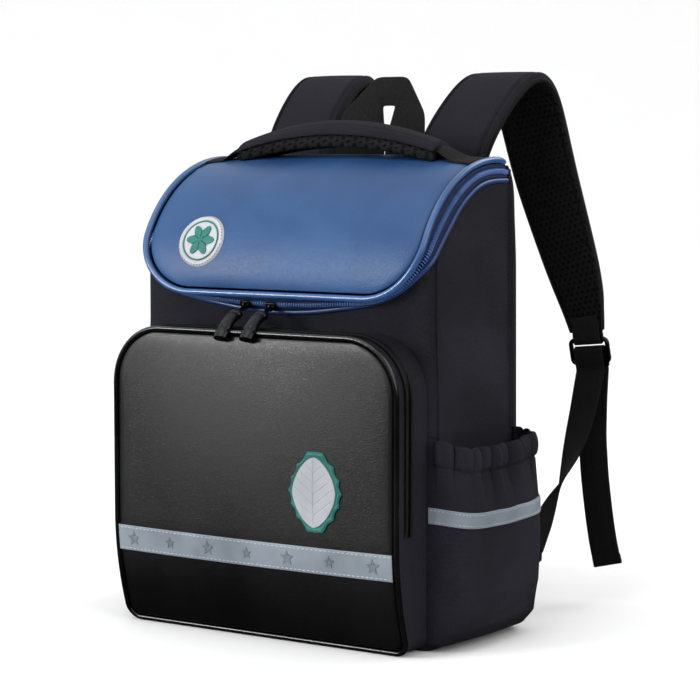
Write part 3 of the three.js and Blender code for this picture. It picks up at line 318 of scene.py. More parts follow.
# %% Many small copies of one shape
def copies(name, shape, quads, origin, axes, material, slot, replaces=()):
    """One mesh of many copies of a small shape, each at an origin and along three axes."""
    x, y, z = (np.asarray(a)[:, None, :] * shape[:, k, None] for k, a in enumerate(axes))
    vertices = origin[:, None] + x + y + z
    starts = len(shape) * np.arange(len(origin))[:, None, None]
    faces = (quads[None] + starts).reshape(-1, 4)
    flat = vertices.reshape(-1, 3)[faces][..., :2] * MM
    mesh = make_mesh(name, vertices.reshape(-1, 3), faces, flat)
    return dress(name, mesh, material, slot, replaces)


def capsule(length, wide, high, rings=4, sides=6):
    """A stitch: an oval thread whose ends dip into the cloth, as points and faces."""
    blunt, dip = 0.93, 0.45
    s = np.linspace(-1, 1, rings + 1)
    turn = np.linspace(0, 4 * QUARTER, sides, endpoint=False)
    size = np.sqrt(np.clip(1 - (blunt * s) ** 4, 0, 1))[:, None]
    x = np.repeat(s * length / 2, sides)
    y = (size * np.cos(turn) * wide / 2).ravel()
    z = (size * np.sin(turn) * high / 2 - dip * high * np.abs(s)[:, None] ** 3).ravel()
    row, k = np.arange(rings)[:, None] * sides, np.arange(sides)
    beside, above = row + (k + 1) % sides, row + sides
    wall = np.stack([row + k, beside, beside + sides, above + k], -1)
    end = np.array([[0, 3, 2, 1], [0, 5, 4, 3]])
    caps = np.concatenate([end, end[:, ::-1] + rings * sides])
    return points(x, y, z), np.concatenate([wall.reshape(-1, 4), caps])


def seam(surface_line, normals, spacing):
    """Places evenly spaced along a seam, and the directions along, across and out."""
    steps = np.linalg.norm(np.diff(surface_line, axis=0), axis=-1)
    run = np.concatenate([[0], np.cumsum(steps)])
    at = np.arange(spacing / 2, run[-1], spacing)
    take = lambda a: np.stack([np.interp(at, run, a[:, k]) for k in range(3)], axis=-1)
    out = unit(take(normals))
    along = take(np.gradient(surface_line, axis=0))
    along = unit(along - out * (along * out).sum(-1, keepdims=True))
    return take(surface_line), (along, np.cross(out, along), out)


def line_on(surface, u, v, lift=0.0):
    """A line of points on a surface, and the way out of it: towards the same places one
    millimetre higher."""
    u, v = np.broadcast_arrays(np.asarray(u, float), np.asarray(v, float))
    base = surface(u, v, np.full(u.shape, lift))
    out = unit(surface(u, v, np.full(u.shape, lift + 1.0)) - base)
    return base, out


def join_seams(seams):
    """Several seams as one list of places and directions."""
    origin = np.concatenate([s[0] for s in seams])
    axes = tuple(np.concatenate([s[1][k] for s in seams]) for k in range(3))
    return origin, axes


def mirrored(grids, side):
    """Grids as they are on the right, or their mirror image on the left."""
    return [grid * [side, 1, 1] for grid in grids]


def stitches(name, seams, size, thread, slot, side=1):
    """Stitches of one length, width and height along several seams, as they are or as
    their mirror image."""
    origin, axes = join_seams(seams)
    flip = np.array([side, 1, 1])
    return copies(name, *capsule(*size), origin * flip, [axis * flip for axis in axes], thread, slot)


print("one stitch:", len(capsule(1, 1, 1)[1]), "faces")

# %% [markdown]
# ## Patterns that finishes share
# The bag shows a woven cloth, grained leather, ribbed webbing and an open mesh, all of them
# handled and a little dusty. Such patterns could be photographs laid on the surface. Node
# groups were chosen, because they stay sharp close up and need no picture: each takes a
# place on the cloth and gives back a height and a mask, and is built once for all finishes.

# %% Node helpers
def srgb(*rgb):
    """A colour read from a picture, 0 to 255, as linear light."""
    c = np.array(rgb) / 255
    linear = np.where(c <= 0.04045, c / 12.92, ((c + 0.055) / 1.055) ** 2.4)
    return (*map(float, linear), 1.0)


print("mid grey in linear light:", round(srgb(128, 128, 128)[0], 3))


# %% Nodes in one line
def put(tree, kind, inputs=(), **settings):
    """A node with its settings, and inputs given as values or as other nodes' sockets."""
    made = tree.nodes.new("ShaderNode" + kind)
    for key, value in settings.items():
        setattr(made, key, value)
    for key, value in dict(inputs).items():
        if isinstance(value, bpy.types.NodeSocket):
            tree.links.new(value, made.inputs[key])
        else:
            made.inputs[key].default_value = value
    return made


def calc(tree, operation, a, b=0.0, c=0.0):
    """One Math node's result."""
    return put(tree, "Math", {0: a, 1: b, 2: c}, operation=operation).outputs[0]


def ramp(tree, value, low, high, to_low=0.0, to_high=1.0):
    """A value moved smoothly from one range to another."""
    inputs = {0: value, 1: low, 2: high, 3: to_low, 4: to_high}
    return put(tree, "MapRange", inputs, interpolation_type="SMOOTHSTEP").outputs[0]


def new_group(name, inputs, outputs):
    """An empty node group with its named sockets, and its two end nodes."""
    tree = bpy.data.node_groups.new(name, "ShaderNodeTree")
    for socket, kind, value in inputs:
        made = tree.interface.new_socket(
            name=socket, in_out="INPUT", socket_type="NodeSocket" + kind
        )
        if value is not None:
            made.default_value = value
    for socket in outputs:
        tree.interface.new_socket(name=socket, in_out="OUTPUT", socket_type="NodeSocketFloat")
    return tree, tree.nodes.new("NodeGroupInput"), tree.nodes.new("NodeGroupOutput")


# %% Weave
def weave_group():
    """A plain weave: the product of a wave along and a wave across the cloth."""
    tree, given, result = new_group(
        "weave", [("Place", "Vector", None), ("Threads", "Float", 1100.0)], ["Height", "Melange"]
    )
    xyz = put(tree, "SeparateXYZ", {0: given.outputs["Place"]})
    turn = calc(tree, "MULTIPLY", given.outputs["Threads"], float(np.pi))
    warp = calc(tree, "SINE", calc(tree, "MULTIPLY", xyz.outputs[0], turn))
    weft = calc(tree, "SINE", calc(tree, "MULTIPLY", xyz.outputs[1], turn))
    height = calc(tree, "MULTIPLY_ADD", calc(tree, "MULTIPLY", warp, weft), 0.5, 0.5)
    stretch = {"Vector": given.outputs["Place"], "Scale": (900.0, 1700.0, 1.0)}
    streak = put(tree, "Mapping", stretch)
    noise = put(tree, "TexNoise", {"Vector": streak.outputs[0], "Scale": 1.0, "Detail": 3.0})
    tree.links.new(height, result.inputs["Height"])
    tree.links.new(ramp(tree, noise.outputs[0], 0.4, 0.66), result.inputs["Melange"])
    return tree


# %% Leather grain
def grain_group():
    """Leather grain: small cells with creases between them, over a soft swell."""
    tree, given, result = new_group(
        "grain", [("Place", "Vector", None), ("Cells", "Float", 800.0)], ["Height", "Swell"]
    )
    place = given.outputs["Place"]
    bend = put(tree, "TexNoise", {"Vector": place, "Scale": 260.0, "Detail": 2.0})
    warped = put(tree, "VectorMath", {0: bend.outputs[1], 3: 0.0022}, operation="SCALE")
    moved = put(tree, "VectorMath", {0: place, 1: warped.outputs[0]}, operation="ADD")
    cells = put(
        tree, "TexVoronoi", {"Vector": moved.outputs[0], "Scale": given.outputs["Cells"]},
        feature="DISTANCE_TO_EDGE",
    )
    swell = put(tree, "TexNoise", {"Vector": place, "Scale": 22.0, "Detail": 3.0})
    tree.links.new(ramp(tree, cells.outputs[0], 0.0, 0.22), result.inputs["Height"])
    tree.links.new(ramp(tree, swell.outputs[0], 0.32, 0.7), result.inputs["Swell"])
    return tree


# %% Ribs of webbing
def rib_group():
    """Webbing: ribs across the band, and chevrons where the waves along it lean."""
    tree, given, result = new_group(
        "ribs", [("Place", "Vector", None), ("Ribs", "Float", 520.0), ("Lean", "Float", 1.0)],
        ["Height", "Fray"],
    )
    xyz = put(tree, "SeparateXYZ", {0: given.outputs["Place"]})
    chevron = calc(tree, "PINGPONG", xyz.outputs[1], 0.0035)
    lean = calc(tree, "MULTIPLY", chevron, given.outputs["Lean"])
    run = calc(tree, "ADD", xyz.outputs[0], lean)
    turn = calc(tree, "MULTIPLY", given.outputs["Ribs"], float(2 * np.pi))
    rib = calc(tree, "SINE", calc(tree, "MULTIPLY", run, turn))
    cord = calc(tree, "SINE", calc(tree, "MULTIPLY", xyz.outputs[1], turn))
    both = calc(tree, "MULTIPLY_ADD", cord, 0.15, 0.5)
    both = calc(tree, "MULTIPLY_ADD", rib, 0.35, both)
    fray = put(tree, "TexNoise", {"Vector": given.outputs["Place"], "Scale": 900.0, "Detail": 2.0})
    tree.links.new(both, result.inputs["Height"])
    tree.links.new(ramp(tree, fray.outputs[0], 0.35, 0.7), result.inputs["Fray"])
    return tree


# %% Open mesh, and dust
def honeycomb_group():
    """Spacer mesh: three waves a third of a turn apart add up to a field of round eyes. Its eye mask
    darkens the holes as painted shade.
    """
    tree, given, result = new_group(
        "honeycomb", [("Place", "Vector", None), ("Eyes", "Float", 260.0)], ["Height", "Eye_painted_shade"]
    )
    total = None
    for angle in (0, 2 * np.pi / 3, 4 * np.pi / 3):
        direction = (float(np.cos(angle)), float(np.sin(angle)), 0.0)
        pair = {0: given.outputs["Place"], 1: direction}
        dot = put(tree, "VectorMath", pair, operation="DOT_PRODUCT")
        turn = calc(tree, "MULTIPLY", given.outputs["Eyes"], float(2 * np.pi))
        wave = calc(tree, "COSINE", calc(tree, "MULTIPLY", dot.outputs["Value"], turn))
        total = wave if total is None else calc(tree, "ADD", total, wave)
    tree.links.new(ramp(tree, total, -0.2, 1.6, 1.0, 0.0), result.inputs["Height"])
    tree.links.new(ramp(tree, total, 0.6, 1.8), result.inputs["Eye_painted_shade"])
    return tree


def dust_group():
    """Uneven wear and handling: broad soft patches and fine specks."""
    tree, given, result = new_group("dust", [("Place", "Vector", None)], ["Patches", "Specks"])
    place = given.outputs["Place"]
    broad = put(tree, "TexNoise", {"Vector": place, "Scale": 11.0, "Detail": 4.0})
    fine = put(tree, "TexNoise", {"Vector": place, "Scale": 420.0, "Detail": 2.0})
    tree.links.new(ramp(tree, broad.outputs[0], 0.35, 0.68), result.inputs["Patches"])
    tree.links.new(ramp(tree, fine.outputs[0], 0.55, 0.75), result.inputs["Specks"])
    return tree


PATTERNS = {
    "weave": weave_group(),
    "grain": grain_group(),
    "ribs": rib_group(),
    "honeycomb": honeycomb_group(),
    "dust": dust_group(),
}
print("patterns:", ", ".join(PATTERNS))


# %% [markdown]
# ## Finishes
# Each part of the bag has its own finish: dull oxford cloth, smooth blue and black leather
# with a broad sheen, glossy cords, ribbed webbing, open mesh, a grey reflective band and
# moulded rubber and plastic. Each could be built node by node. One recipe was chosen: a
# Principled shader whose colour follows a pattern's mask and the dust, whose roughness
# follows the dust, and whose bump follows the pattern's height. What is the same all over
# sits on the shader itself.

# %% One recipe for a finish
SPECK_HEIGHT = 0.12


def finish(name, pattern, dark, light, rough, bump, flat=True, values=(), tint=0.5, **sockets):
    """A material: the pattern's mask moves the colour from dark to light, broad patches
    move its roughness, and the pattern's height is its bump."""
    material = bpy.data.materials.new(name)
    material.use_nodes = True
    tree = material.node_tree
    shader = tree.nodes["Principled BSDF"]
    for key, value in sockets.items():
        shader.inputs[key.replace("_", " ")].default_value = value
    lay = put(tree, "UVMap", uv_map="laid_flat") if flat else put(tree, "TexCoord")
    place = lay.outputs["UV"] if flat else lay.outputs["Object"]
    solid = put(tree, "TexCoord").outputs["Object"]
    group = put(tree, "Group", node_tree=PATTERNS[pattern])
    tree.links.new(place, group.inputs["Place"])
    for key, value in dict(values).items():
        group.inputs[key].default_value = value
    dust = put(tree, "Group", node_tree=PATTERNS["dust"])
    tree.links.new(solid, dust.inputs["Place"])
    mask = calc(tree, "MULTIPLY_ADD", group.outputs[1], tint, 0.0)
    mask = calc(tree, "MULTIPLY_ADD", dust.outputs["Patches"], 1 - tint, mask)
    colour = put(tree, "Mix", {0: mask, 6: srgb(*dark), 7: srgb(*light)}, data_type="RGBA")
    tree.links.new(colour.outputs[2], shader.inputs["Base Color"])
    tree.links.new(ramp(tree, dust.outputs["Patches"], 0, 1, *rough), shader.inputs["Roughness"])
    height = calc(tree, "MULTIPLY_ADD", dust.outputs["Specks"], SPECK_HEIGHT, group.outputs["Height"])
    raised = put(tree, "Bump", {"Height": height, "Distance": bump * MM})
    tree.links.new(raised.outputs[0], shader.inputs["Normal"])
    return material


# %% Cloth, leather and cords
OXFORD = finish("oxford_cloth", "weave", (14, 13, 19), (42, 41, 50), (0.8, 0.95), 0.4,
                tint=0.7, Specular_IOR_Level=0.15)
BLUE = finish("blue_leather", "grain", (30, 63, 106), (40, 75, 119), (0.34, 0.42), 0.05,
              flat=False, tint=0.25, Specular_IOR_Level=0.3)
BLACK = finish("black_leather", "grain", (2, 2, 3), (5, 5, 6), (0.36, 0.42), 0.05,
               flat=False, tint=0.25, Specular_IOR_Level=0.5)
BLUE_CORD = finish("blue_piping", "grain", (36, 69, 114), (48, 84, 132), (0.22, 0.3), 0.03,
                   flat=False, tint=0.3, Specular_IOR_Level=0.5, Coat_Weight=0.4, Coat_Roughness=0.15)
BLACK_CORD = finish("black_piping", "grain", (4, 4, 5), (9, 9, 11), (0.18, 0.26), 0.02,
                    flat=False, tint=0.3, Specular_IOR_Level=0.5)
TEETH = finish("zip_teeth", "grain", (66, 94, 148), (92, 122, 178), (0.25, 0.35), 0.02,
               flat=False, Specular_IOR_Level=0.5)
RIM_BLUE = finish("rim_binding", "grain", (24, 48, 94), (34, 62, 112), (0.3, 0.4), 0.04,
                  flat=False, tint=0.3, Specular_IOR_Level=0.5)

# %% Webbing, mesh and thread
TAPE_BLUE = finish("zip_tape", "ribs", (14, 25, 54), (27, 44, 82), (0.7, 0.85), 0.2,
                   values={"Ribs": 700.0, "Lean": 0.6}, Specular_IOR_Level=0.2)
WEB = finish("webbing", "ribs", (8, 8, 8), (27, 27, 27), (0.65, 0.85), 0.45,
             values={"Ribs": 430.0}, Specular_IOR_Level=0.15)
# In both meshes the eyes are painted near black: painted shade in the holes.
MESH = finish("spacer_mesh", "honeycomb", (17, 17, 19), (1, 1, 1), (0.8, 0.95), 0.9,
              values={"Eyes": 210.0}, tint=0.9, Specular_IOR_Level=0.12)
COARSE_MESH = finish("coarse_mesh", "honeycomb", (20, 20, 23), (1, 1, 1), (0.8, 0.95), 1.6,
                     values={"Eyes": 165.0}, tint=0.9, Specular_IOR_Level=0.15)
THREAD = finish("thread", "ribs", (14, 14, 18), (30, 30, 36), (0.6, 0.75), 0.05,
                Specular_IOR_Level=0.3)
PALE_THREAD = finish("pale_thread", "ribs", (140, 142, 146), (180, 182, 186), (0.5, 0.65), 0.05)

# %% Reflective band, plastic and rubber
STRIP = finish("reflective", "grain", (108, 117, 126), (131, 140, 149), (0.34, 0.46), 0.03,
               flat=False, values={"Cells": 1500.0}, Metallic=0.2, Specular_IOR_Level=0.4)
# The stars are a darker grey than the band.
STAR = finish("star_darker_grey", "grain", (88, 95, 103), (108, 115, 123), (0.4, 0.5), 0.03,
              flat=False, values={"Cells": 1500.0}, Specular_IOR_Level=0.3)
PLASTIC = finish("moulded_plastic", "grain", (2, 2, 3), (6, 6, 7), (0.14, 0.22), 0.02,
                 flat=False, values={"Cells": 1800.0}, Specular_IOR_Level=0.3)
SILVER = finish("silver_rubber", "grain", (158, 160, 164), (182, 184, 188), (0.42, 0.55), 0.03,
                flat=False, values={"Cells": 1400.0}, Specular_IOR_Level=0.3)
GREY = finish("grey_rubber", "grain", (140, 142, 149), (162, 164, 171), (0.42, 0.55), 0.03,
              flat=False, values={"Cells": 1400.0}, Specular_IOR_Level=0.3)
TEAL = finish("teal_rubber", "grain", (20, 84, 78), (42, 116, 105), (0.42, 0.55), 0.04,
              flat=False, values={"Cells": 1200.0}, Specular_IOR_Level=0.3)
print("finishes:", len(bpy.data.materials))

# %% [markdown]
# ## Floor, walls and light
# The bag was photographed in front of pale paper that runs up behind it without a corner. A
# plane with a bent edge would do for one camera. A round bowl was chosen, because it hides
# the horizon from every side. It is left out of reflections: otherwise its white would lie
# as a veil over the black leather. The sky grows bright with height instead, and one strong
# soft light in front gives the leather its sheen.

# %% The floor and its wall
FLOOR_R, COVE_R, WALL_TOP = 3.0, 3.0, 5.0


def studio():
    """A bowl: a floor disc that rises through a quarter circle into a round wall."""
    turn = np.linspace(0, 4 * QUARTER, 97)
    rise = np.linspace(0, QUARTER, 13)[1:]
    r = np.concatenate([[MM, 1, FLOOR_R], FLOOR_R + COVE_R * np.sin(rise), [FLOOR_R + COVE_R]]) / MM
    z = np.concatenate([[0, 0, 0], COVE_R - COVE_R * np.cos(rise), [WALL_TOP]]) / MM
    grid = points(r[:, None] * np.cos(turn), r[:, None] * np.sin(turn), z[:, None] + 0 * turn)
    index = np.arange(grid.shape[0] * grid.shape[1]).reshape(grid.shape[:2])
    return make_mesh("studio", grid.reshape(-1, 3), corners(index), corners(grid[..., :2] * MM))


room = bpy.data.objects.new("studio", studio())
paint = bpy.data.materials.new("studio_paint")
paint.use_nodes = True
matt = paint.node_tree.nodes["Principled BSDF"].inputs
matt["Base Color"].default_value = (0.93, 0.93, 0.93, 1)
matt["Roughness"].default_value = 0.9
room.data.materials.append(paint)
bpy.context.scene.collection.objects.link(room)
room.visible_glossy = False
print("studio:", len(room.data.polygons), "faces")

# %% Sky and lights
DIM, BRIGHT, BRIGHT_FROM = 0.02, 1.0, 0.5
world = bpy.data.worlds.new("room_light")
world.use_nodes = True
sky = world.node_tree.nodes["Background"]
sky.inputs["Color"].default_value = (1, 1, 1, 1)
direction = put(world.node_tree, "TexCoord").outputs["Generated"]
height = put(world.node_tree, "SeparateXYZ", {0: direction}).outputs[2]
glow = ramp(world.node_tree, height, 0.0, BRIGHT_FROM, DIM, BRIGHT)
world.node_tree.links.new(glow, sky.inputs["Strength"])
bpy.context.scene.world = world


BAG_MIDDLE = (0, 0, 0.25)


def soft_light(name, place, size, power):
    """A square area light that looks at the middle of the bag."""
    lamp = bpy.data.lights.new(name, "AREA")
    lamp.energy, lamp.size = power, size
    made = bpy.data.objects.new(name, lamp)
    made.location = place
    aim = Vector(BAG_MIDDLE) - made.location
    made.rotation_euler = aim.to_track_quat("-Z", "Y").to_euler()
    bpy.context.scene.collection.objects.link(made)


soft_light("key_light", (-1.75, -2.5, 1.0), 1.0, 66)
soft_light("top_light", (-0.2, -1.2, 2.8), 1.4, 14)
soft_light("side_light", (2.6, -0.6, 1.5), 1.6, 18)
soft_light("back_light", (1.0, 2.4, 2.2), 1.6, 22)
print("lights:", len(bpy.data.lights))

# %% [markdown]
# ## The hood's curve
# The lid is a hood: seen from the side it follows a quarter of an ellipse from its front
# edge up to a flat top, and the yoke behind it rounds over into the back. It could be a
# bent plane with a Subdivision modifier. One function was chosen that gives the place at any
# distance along that curve, so that the lid, the badge, the handle's tabs and the yoke all
# sit on the same surface.

# %% The hood
HALF, DEEP, CORNER = 145.0, 67.0, 10.0
LID_FRONT, LID_TOP = 281.0, 391.0
LID_STEP, LID_OVERHANG, LID_CROWN, ZIP_PAST_LID = 5.5, 12.0, 4.0, 15.0
YOKE_ROUND, YOKE_FLAP = 26.0, 26.0
LID_HALF = HALF - LID_STEP
LID_BACK_Y = DEEP - YOKE_ROUND
LID_REACH = LID_BACK_Y + DEEP + LID_OVERHANG
LID_RISE = LID_TOP - LID_FRONT
LID_LENGTH = QUARTER * (LID_REACH + LID_RISE) / 2
YOKE_BACK = DEEP + GAP + CLOTH
YOKE_Y, YOKE_Z = YOKE_BACK - YOKE_ROUND, LID_TOP - YOKE_ROUND
YOKE_FLAT = YOKE_Y - LID_BACK_Y
YOKE_ARC = QUARTER * YOKE_ROUND
ZIP_END_Y = LID_BACK_Y + ZIP_PAST_LID
ZIP_END_S = LID_LENGTH + YOKE_FLAT + YOKE_ROUND * np.arcsin((ZIP_END_Y - YOKE_Y) / YOKE_ROUND)
print("lid:", round(LID_LENGTH, 1), "mm from its front edge to its back edge")


def hood(x, s, lift):
    """A quarter ellipse, then a flat, then a quarter circle, then straight down; raised
    in the middle of its width by a parabola, and moved out along its normal by lift."""
    x, s, lift = np.broadcast_arrays(*(np.asarray(a, float) for a in (x, s, lift)))
    arc = QUARTER * (1 - np.clip(s / LID_LENGTH, 0, 1))
    past = s - LID_LENGTH
    turn = np.clip((past - YOKE_FLAT) / YOKE_ROUND, 0, QUARTER)
    down = np.maximum(0, past - YOKE_FLAT - YOKE_ARC)
    on_lid = s <= LID_LENGTH
    y = LID_BACK_Y + np.where(on_lid, -LID_REACH * np.sin(arc), np.clip(past, 0, YOKE_FLAT))
    y = y + YOKE_ROUND * np.sin(turn)
    on_yoke = YOKE_Z + YOKE_ROUND * np.cos(turn) - down
    z = np.where(on_lid, LID_FRONT + LID_RISE * np.cos(arc), on_yoke)
    ny = np.where(on_lid, -LID_RISE * np.sin(arc), np.sin(turn))
    nz = np.where(on_lid, LID_REACH * np.cos(arc), np.cos(turn))
    length = np.hypot(ny, nz)
    fullness = np.sin(QUARTER * np.clip(s / LID_LENGTH, 0, 1))
    crown = np.where(on_lid, fullness, 1 - smooth(turn / QUARTER))
    up = LID_CROWN * crown * (1 - (x / LID_HALF) ** 2) + lift
    return points(x, y + up * ny / length, z + up * nz / length)


# %% [markdown]
# ## The body
# The body is cloth over a thin board: four walls with a rounded corner between them and a
# flat base. The rim is low in front and sweeps up to the sides, as the lid's edge does. A
# cube with bevelled edges and a cut top would come near. Walking round the plan once for
# every height was chosen, because the walls can then swell a little between their seams,
# and a narrow groove can mark where the side panels are sewn to the front and the back.

# %% The body's plan and rim
RIM_FRONT, RIM_SIDE, RIM_UNDER_LID = 264.5, 372.0, 6.0
RIM_LEAN, LEAN_FROM = 2.0, 0.75 * RIM_FRONT
FRONT_RUN = HALF - CORNER
SIDE_RUN = 2 * (DEEP - CORNER)
CORNER_RUN = QUARTER * CORNER
ZIP_END_U = FRONT_RUN + CORNER_RUN + ZIP_END_Y + DEEP - CORNER
HALF_ROUND = 2 * FRONT_RUN + 2 * CORNER_RUN + SIDE_RUN
print("body:", round(2 * HALF_ROUND), "mm round its plan")


def body(u, z, inset):
    """A rounded rectangle walked from the middle of the front (u = 0) to the middle of
    the back, to the right for u above 0 and to the left below, at a height."""
    side, run = np.sign(u), np.abs(u)
    wide = HALF - RIM_LEAN * smooth((z - LEAN_FROM) / (RIM_FRONT - LEAN_FROM))
    turn = np.clip((run - FRONT_RUN) / CORNER, 0, QUARTER)
    turn = turn + np.clip((run - FRONT_RUN - CORNER_RUN - SIDE_RUN) / CORNER, 0, QUARTER)
    along = np.clip(run - FRONT_RUN - CORNER_RUN, 0, SIDE_RUN) / SIDE_RUN
    back_run = np.clip(run - FRONT_RUN - 2 * CORNER_RUN - SIDE_RUN, 0, FRONT_RUN) / FRONT_RUN
    fx = np.clip(run / FRONT_RUN, 0, 1) - back_run
    x = fx * (wide - CORNER) + (CORNER - inset) * np.sin(turn)
    y = (2 * along - 1) * (DEEP - CORNER) - (CORNER - inset) * np.cos(turn)
    return points(side * x, y, z)


# Columns: distance round the plan from the middle of the front, and the rim's height.
RIM_TABLE = [
    (-40, 265.3), (0, RIM_FRONT), (30, 265.8), (60, 270), (90, 275.5), (115, 283.5),
    (140, 301), (165, 328), (190, 353), (215, 367.5), (235, 371.5), (300, RIM_SIDE),
]
RIM_LINE = eased(RIM_TABLE, 260, 70)


def rim_height(u):
    """A smooth sweep from the front up to the side, then close under the yoke's circle."""
    run = np.abs(u)
    swept = np.interp(run, RIM_LINE[:, 0], RIM_LINE[:, 1])
    y = body(run, np.full(run.shape, RIM_SIDE), 0.0)[..., 1]
    under = YOKE_ROUND - CLOTH - GAP
    out = np.minimum(under, y - YOKE_Y)
    tucked = YOKE_Z + np.sqrt(np.maximum(under**2 - out**2, 0))
    return np.where(run <= ZIP_END_U, swept, np.minimum(tucked, LID_TOP - RIM_UNDER_LID))


# %% The body's walls
SEAM_AT = FRONT_RUN + np.array([CORNER_RUN, CORNER_RUN + SIDE_RUN])
SEAM_MARGIN, BASE_EDGE, RIM_FOLD = 3.2, 6.0, 0.6
GROOVE_DEEP, GROOVE_WIDE, WELT = 3.4, 0.75, 0.6
SWELL_BY, FOLD_BY, FOLD_LENGTH = 2.2, 0.5, 17.0


def wall_inset(u, z, top):
    """A bell-shaped groove with a low welt on each side at a seam, less a sine squared
    that swells the side panel, less a slanting sine for its soft folds."""
    wave = np.abs(np.abs(u)[:, None] - SEAM_AT).min(1)
    groove = GROOVE_DEEP * ridge(wave, 0, GROOVE_WIDE) - WELT * ridge(wave, 2.0, 0.9)
    side = np.clip((np.abs(u) - SEAM_AT[0]) / SIDE_RUN, 0, 1)
    free = smooth((z - 150) / 60) * smooth((top - z) / 50)
    swell = SWELL_BY * np.sin(np.pi * side) ** 2 * free
    fold = FOLD_BY * np.sin(z / FOLD_LENGTH + 3 * side) * np.sin(np.pi * side) * free
    return groove - swell - fold


# %% The body's shell
def body_skin(inset):
    """From the middle of the base, round its edge by a quarter circle and up the wall to
    the rim."""
    near = (SEAM_AT[:, None] + np.linspace(-SEAM_MARGIN, SEAM_MARGIN, 17)).ravel()
    u = np.unique(np.concatenate([np.linspace(-HALF_ROUND, HALF_ROUND, 321), near, -near]))
    rows, bend, top = [points(0 * u, 0 * u, 0 * u + inset)], BASE_EDGE - inset, rim_height(u)
    for angle in np.linspace(0, QUARTER, 6):
        low = 0 * u + BASE_EDGE - bend * np.cos(angle)
        rows.append(body(u, low, BASE_EDGE - bend * np.sin(angle)))
    for share in np.linspace(0, 1, 61)[1:]:
        z = mix(BASE_EDGE, top, share)
        rows.append(body(u, z, inset + wall_inset(u, z, top)))
    return np.stack(rows)


outer, inner = body_skin(0.0), body_skin(CLOTH)
rim_join = np.stack([outer[-1], (outer[-1] + inner[-1]) / 2 + [0, 0, RIM_FOLD], inner[-1]])
piece("body_cloth", [outer, rim_join, inner[::-1]], OXFORD, "oxford_cloth", ["main_shell"])


# %% Stitches beside the side seams
def wall_point(u, z, lift):
    """The wall of the body, moved out by lift."""
    return body(u, z, -lift)


wall_seams = []
for at in SEAM_AT + [SEAM_MARGIN, -SEAM_MARGIN]:
    z = np.linspace(8, float(rim_height(np.array([at]))[0]) - 6, 300)
    wall_seams.append(seam(*line_on(wall_point, at + 0 * z, z, 0.05), 3.6))
for name, side in (("left", -1), ("right", 1)):
    stitches(f"wall_stitches_{name}", wall_seams, (2.6, 0.5, 0.45), THREAD, "oxford_cloth", side)

# %% [markdown]
# ## Yoke and padded back
# The yoke is the cloth behind the lid that rounds over into the back. Below it lies a pad of
# foam under open mesh, quilted into cells so that air can pass, with a cord along its edge.
# A cloth simulation with pressure would puff such a pad. Its cells are so flat that pressed
# channels, each a narrow bell curve, give the same shape at once.

# %% The yoke
def yoke_surface(s, share, lift):
    """The hood's surface from the lid's back edge down, a little narrower by the zip."""
    half = np.where(s <= ZIP_END_S, LID_HALF - ZIP_SIDE, LID_HALF)
    return hood(share * half, s, lift)


ZIP_SIDE = 4.4
yoke_s = edged(LID_LENGTH + GAP, LID_LENGTH + YOKE_FLAT + YOKE_ARC + YOKE_FLAP, 34, 1.0)
piece("yoke_cloth", skins(yoke_surface, yoke_s, edged(-1, 1, 40, 0.01), -CLOTH, 0.0),
      OXFORD, "oxford_cloth", ["back_yoke"])

# %% The padded panel
PAD_HALF, PAD_LOW, PAD_HIGH, PAD_CORNER = 140.0, 16.0, YOKE_Z - YOKE_FLAP - 2, 30.0
PAD_THICK, CHANNEL_X, CHANNEL_Z, CHANNEL_WIDE, PRESSED = 10.0, 52, (105, 190, 275), 5, 0.55


def pad_surface(row, share, lift):
    """A rounded rectangle against the back. Two upright channels and three level ones are
    pressed into it, each a narrow bell curve."""
    cut = np.maximum(PAD_CORNER - (row - PAD_LOW), PAD_CORNER - (PAD_HIGH - row))
    narrow = PAD_CORNER - np.sqrt(np.maximum(PAD_CORNER**2 - np.clip(cut, 0, None) ** 2, 0))
    x = share * (PAD_HALF - narrow)
    channel, inside = ridge(np.abs(x), CHANNEL_X, CHANNEL_WIDE), smooth((0.93 - np.abs(share)) / 0.08)
    for level in CHANNEL_Z:
        channel = np.maximum(channel, ridge(row, level, CHANNEL_WIDE) * inside)
    return points(x, DEEP + GAP + lift * (1 - PRESSED * channel), row)


pad_rows, pad_shares = edged(PAD_LOW, PAD_HIGH, 130, 7.0, 7), edged(-1, 1, 110, 0.05, 7)
back_pad = piece("back_pad", skins(pad_surface, pad_rows, pad_shares, 0.0, PAD_THICK, 3.0),
                 MESH, "spacer_mesh", ["back_panel"])

# %% The pad's border
# From one shoulder down the side seam, along the foot and up the other side.
BORDER_ON_PAD, BORDER_IN, BORDER_SIZE = 5.2, 0.8, (5.0, 3.0)
turn, over = np.linspace(0, QUARTER, 9), np.radians(np.linspace(90, 35, 12))
shoulder = YOKE_ROUND - 0.5
foot_x = PAD_HALF - PAD_CORNER + PAD_CORNER * np.sin(turn)
foot_z = PAD_LOW + PAD_CORNER - PAD_CORNER * np.cos(turn)
right_x = np.concatenate([foot_x, 139.5 + 0 * over]) - BORDER_IN
right_y = np.concatenate([DEEP + GAP + BORDER_ON_PAD + 0 * turn, YOKE_Y + shoulder * np.sin(over)])
right_z = np.concatenate([foot_z, YOKE_Z + shoulder * np.cos(over)])
right_line = points(right_x, right_y, right_z)
border = eased(np.concatenate([right_line[::-1] * [-1, 1, 1], right_line]), 420, 30)
thin = mix(1, 0.62, smooth((border[:, 2] - 300) / 60))
border_grid = cord_grid(border, (0, 0.94, 0.34), *BORDER_SIZE, sides=14, profile=thin)
piece("back_border", [border_grid], OXFORD, "oxford_cloth")

# %% [markdown]
# ## The lid
# The lid is leather cloth stretched over foam, so it is smooth and full, with a seam just
# inside its edge. A subdivided plane could be pinned along its edge and inflated. Here the
# hood's own surface is used, with a width that rounds its front corners, and its skin dips
# by the edge as e to the power of minus the distance, which is how a tight seam pulls.

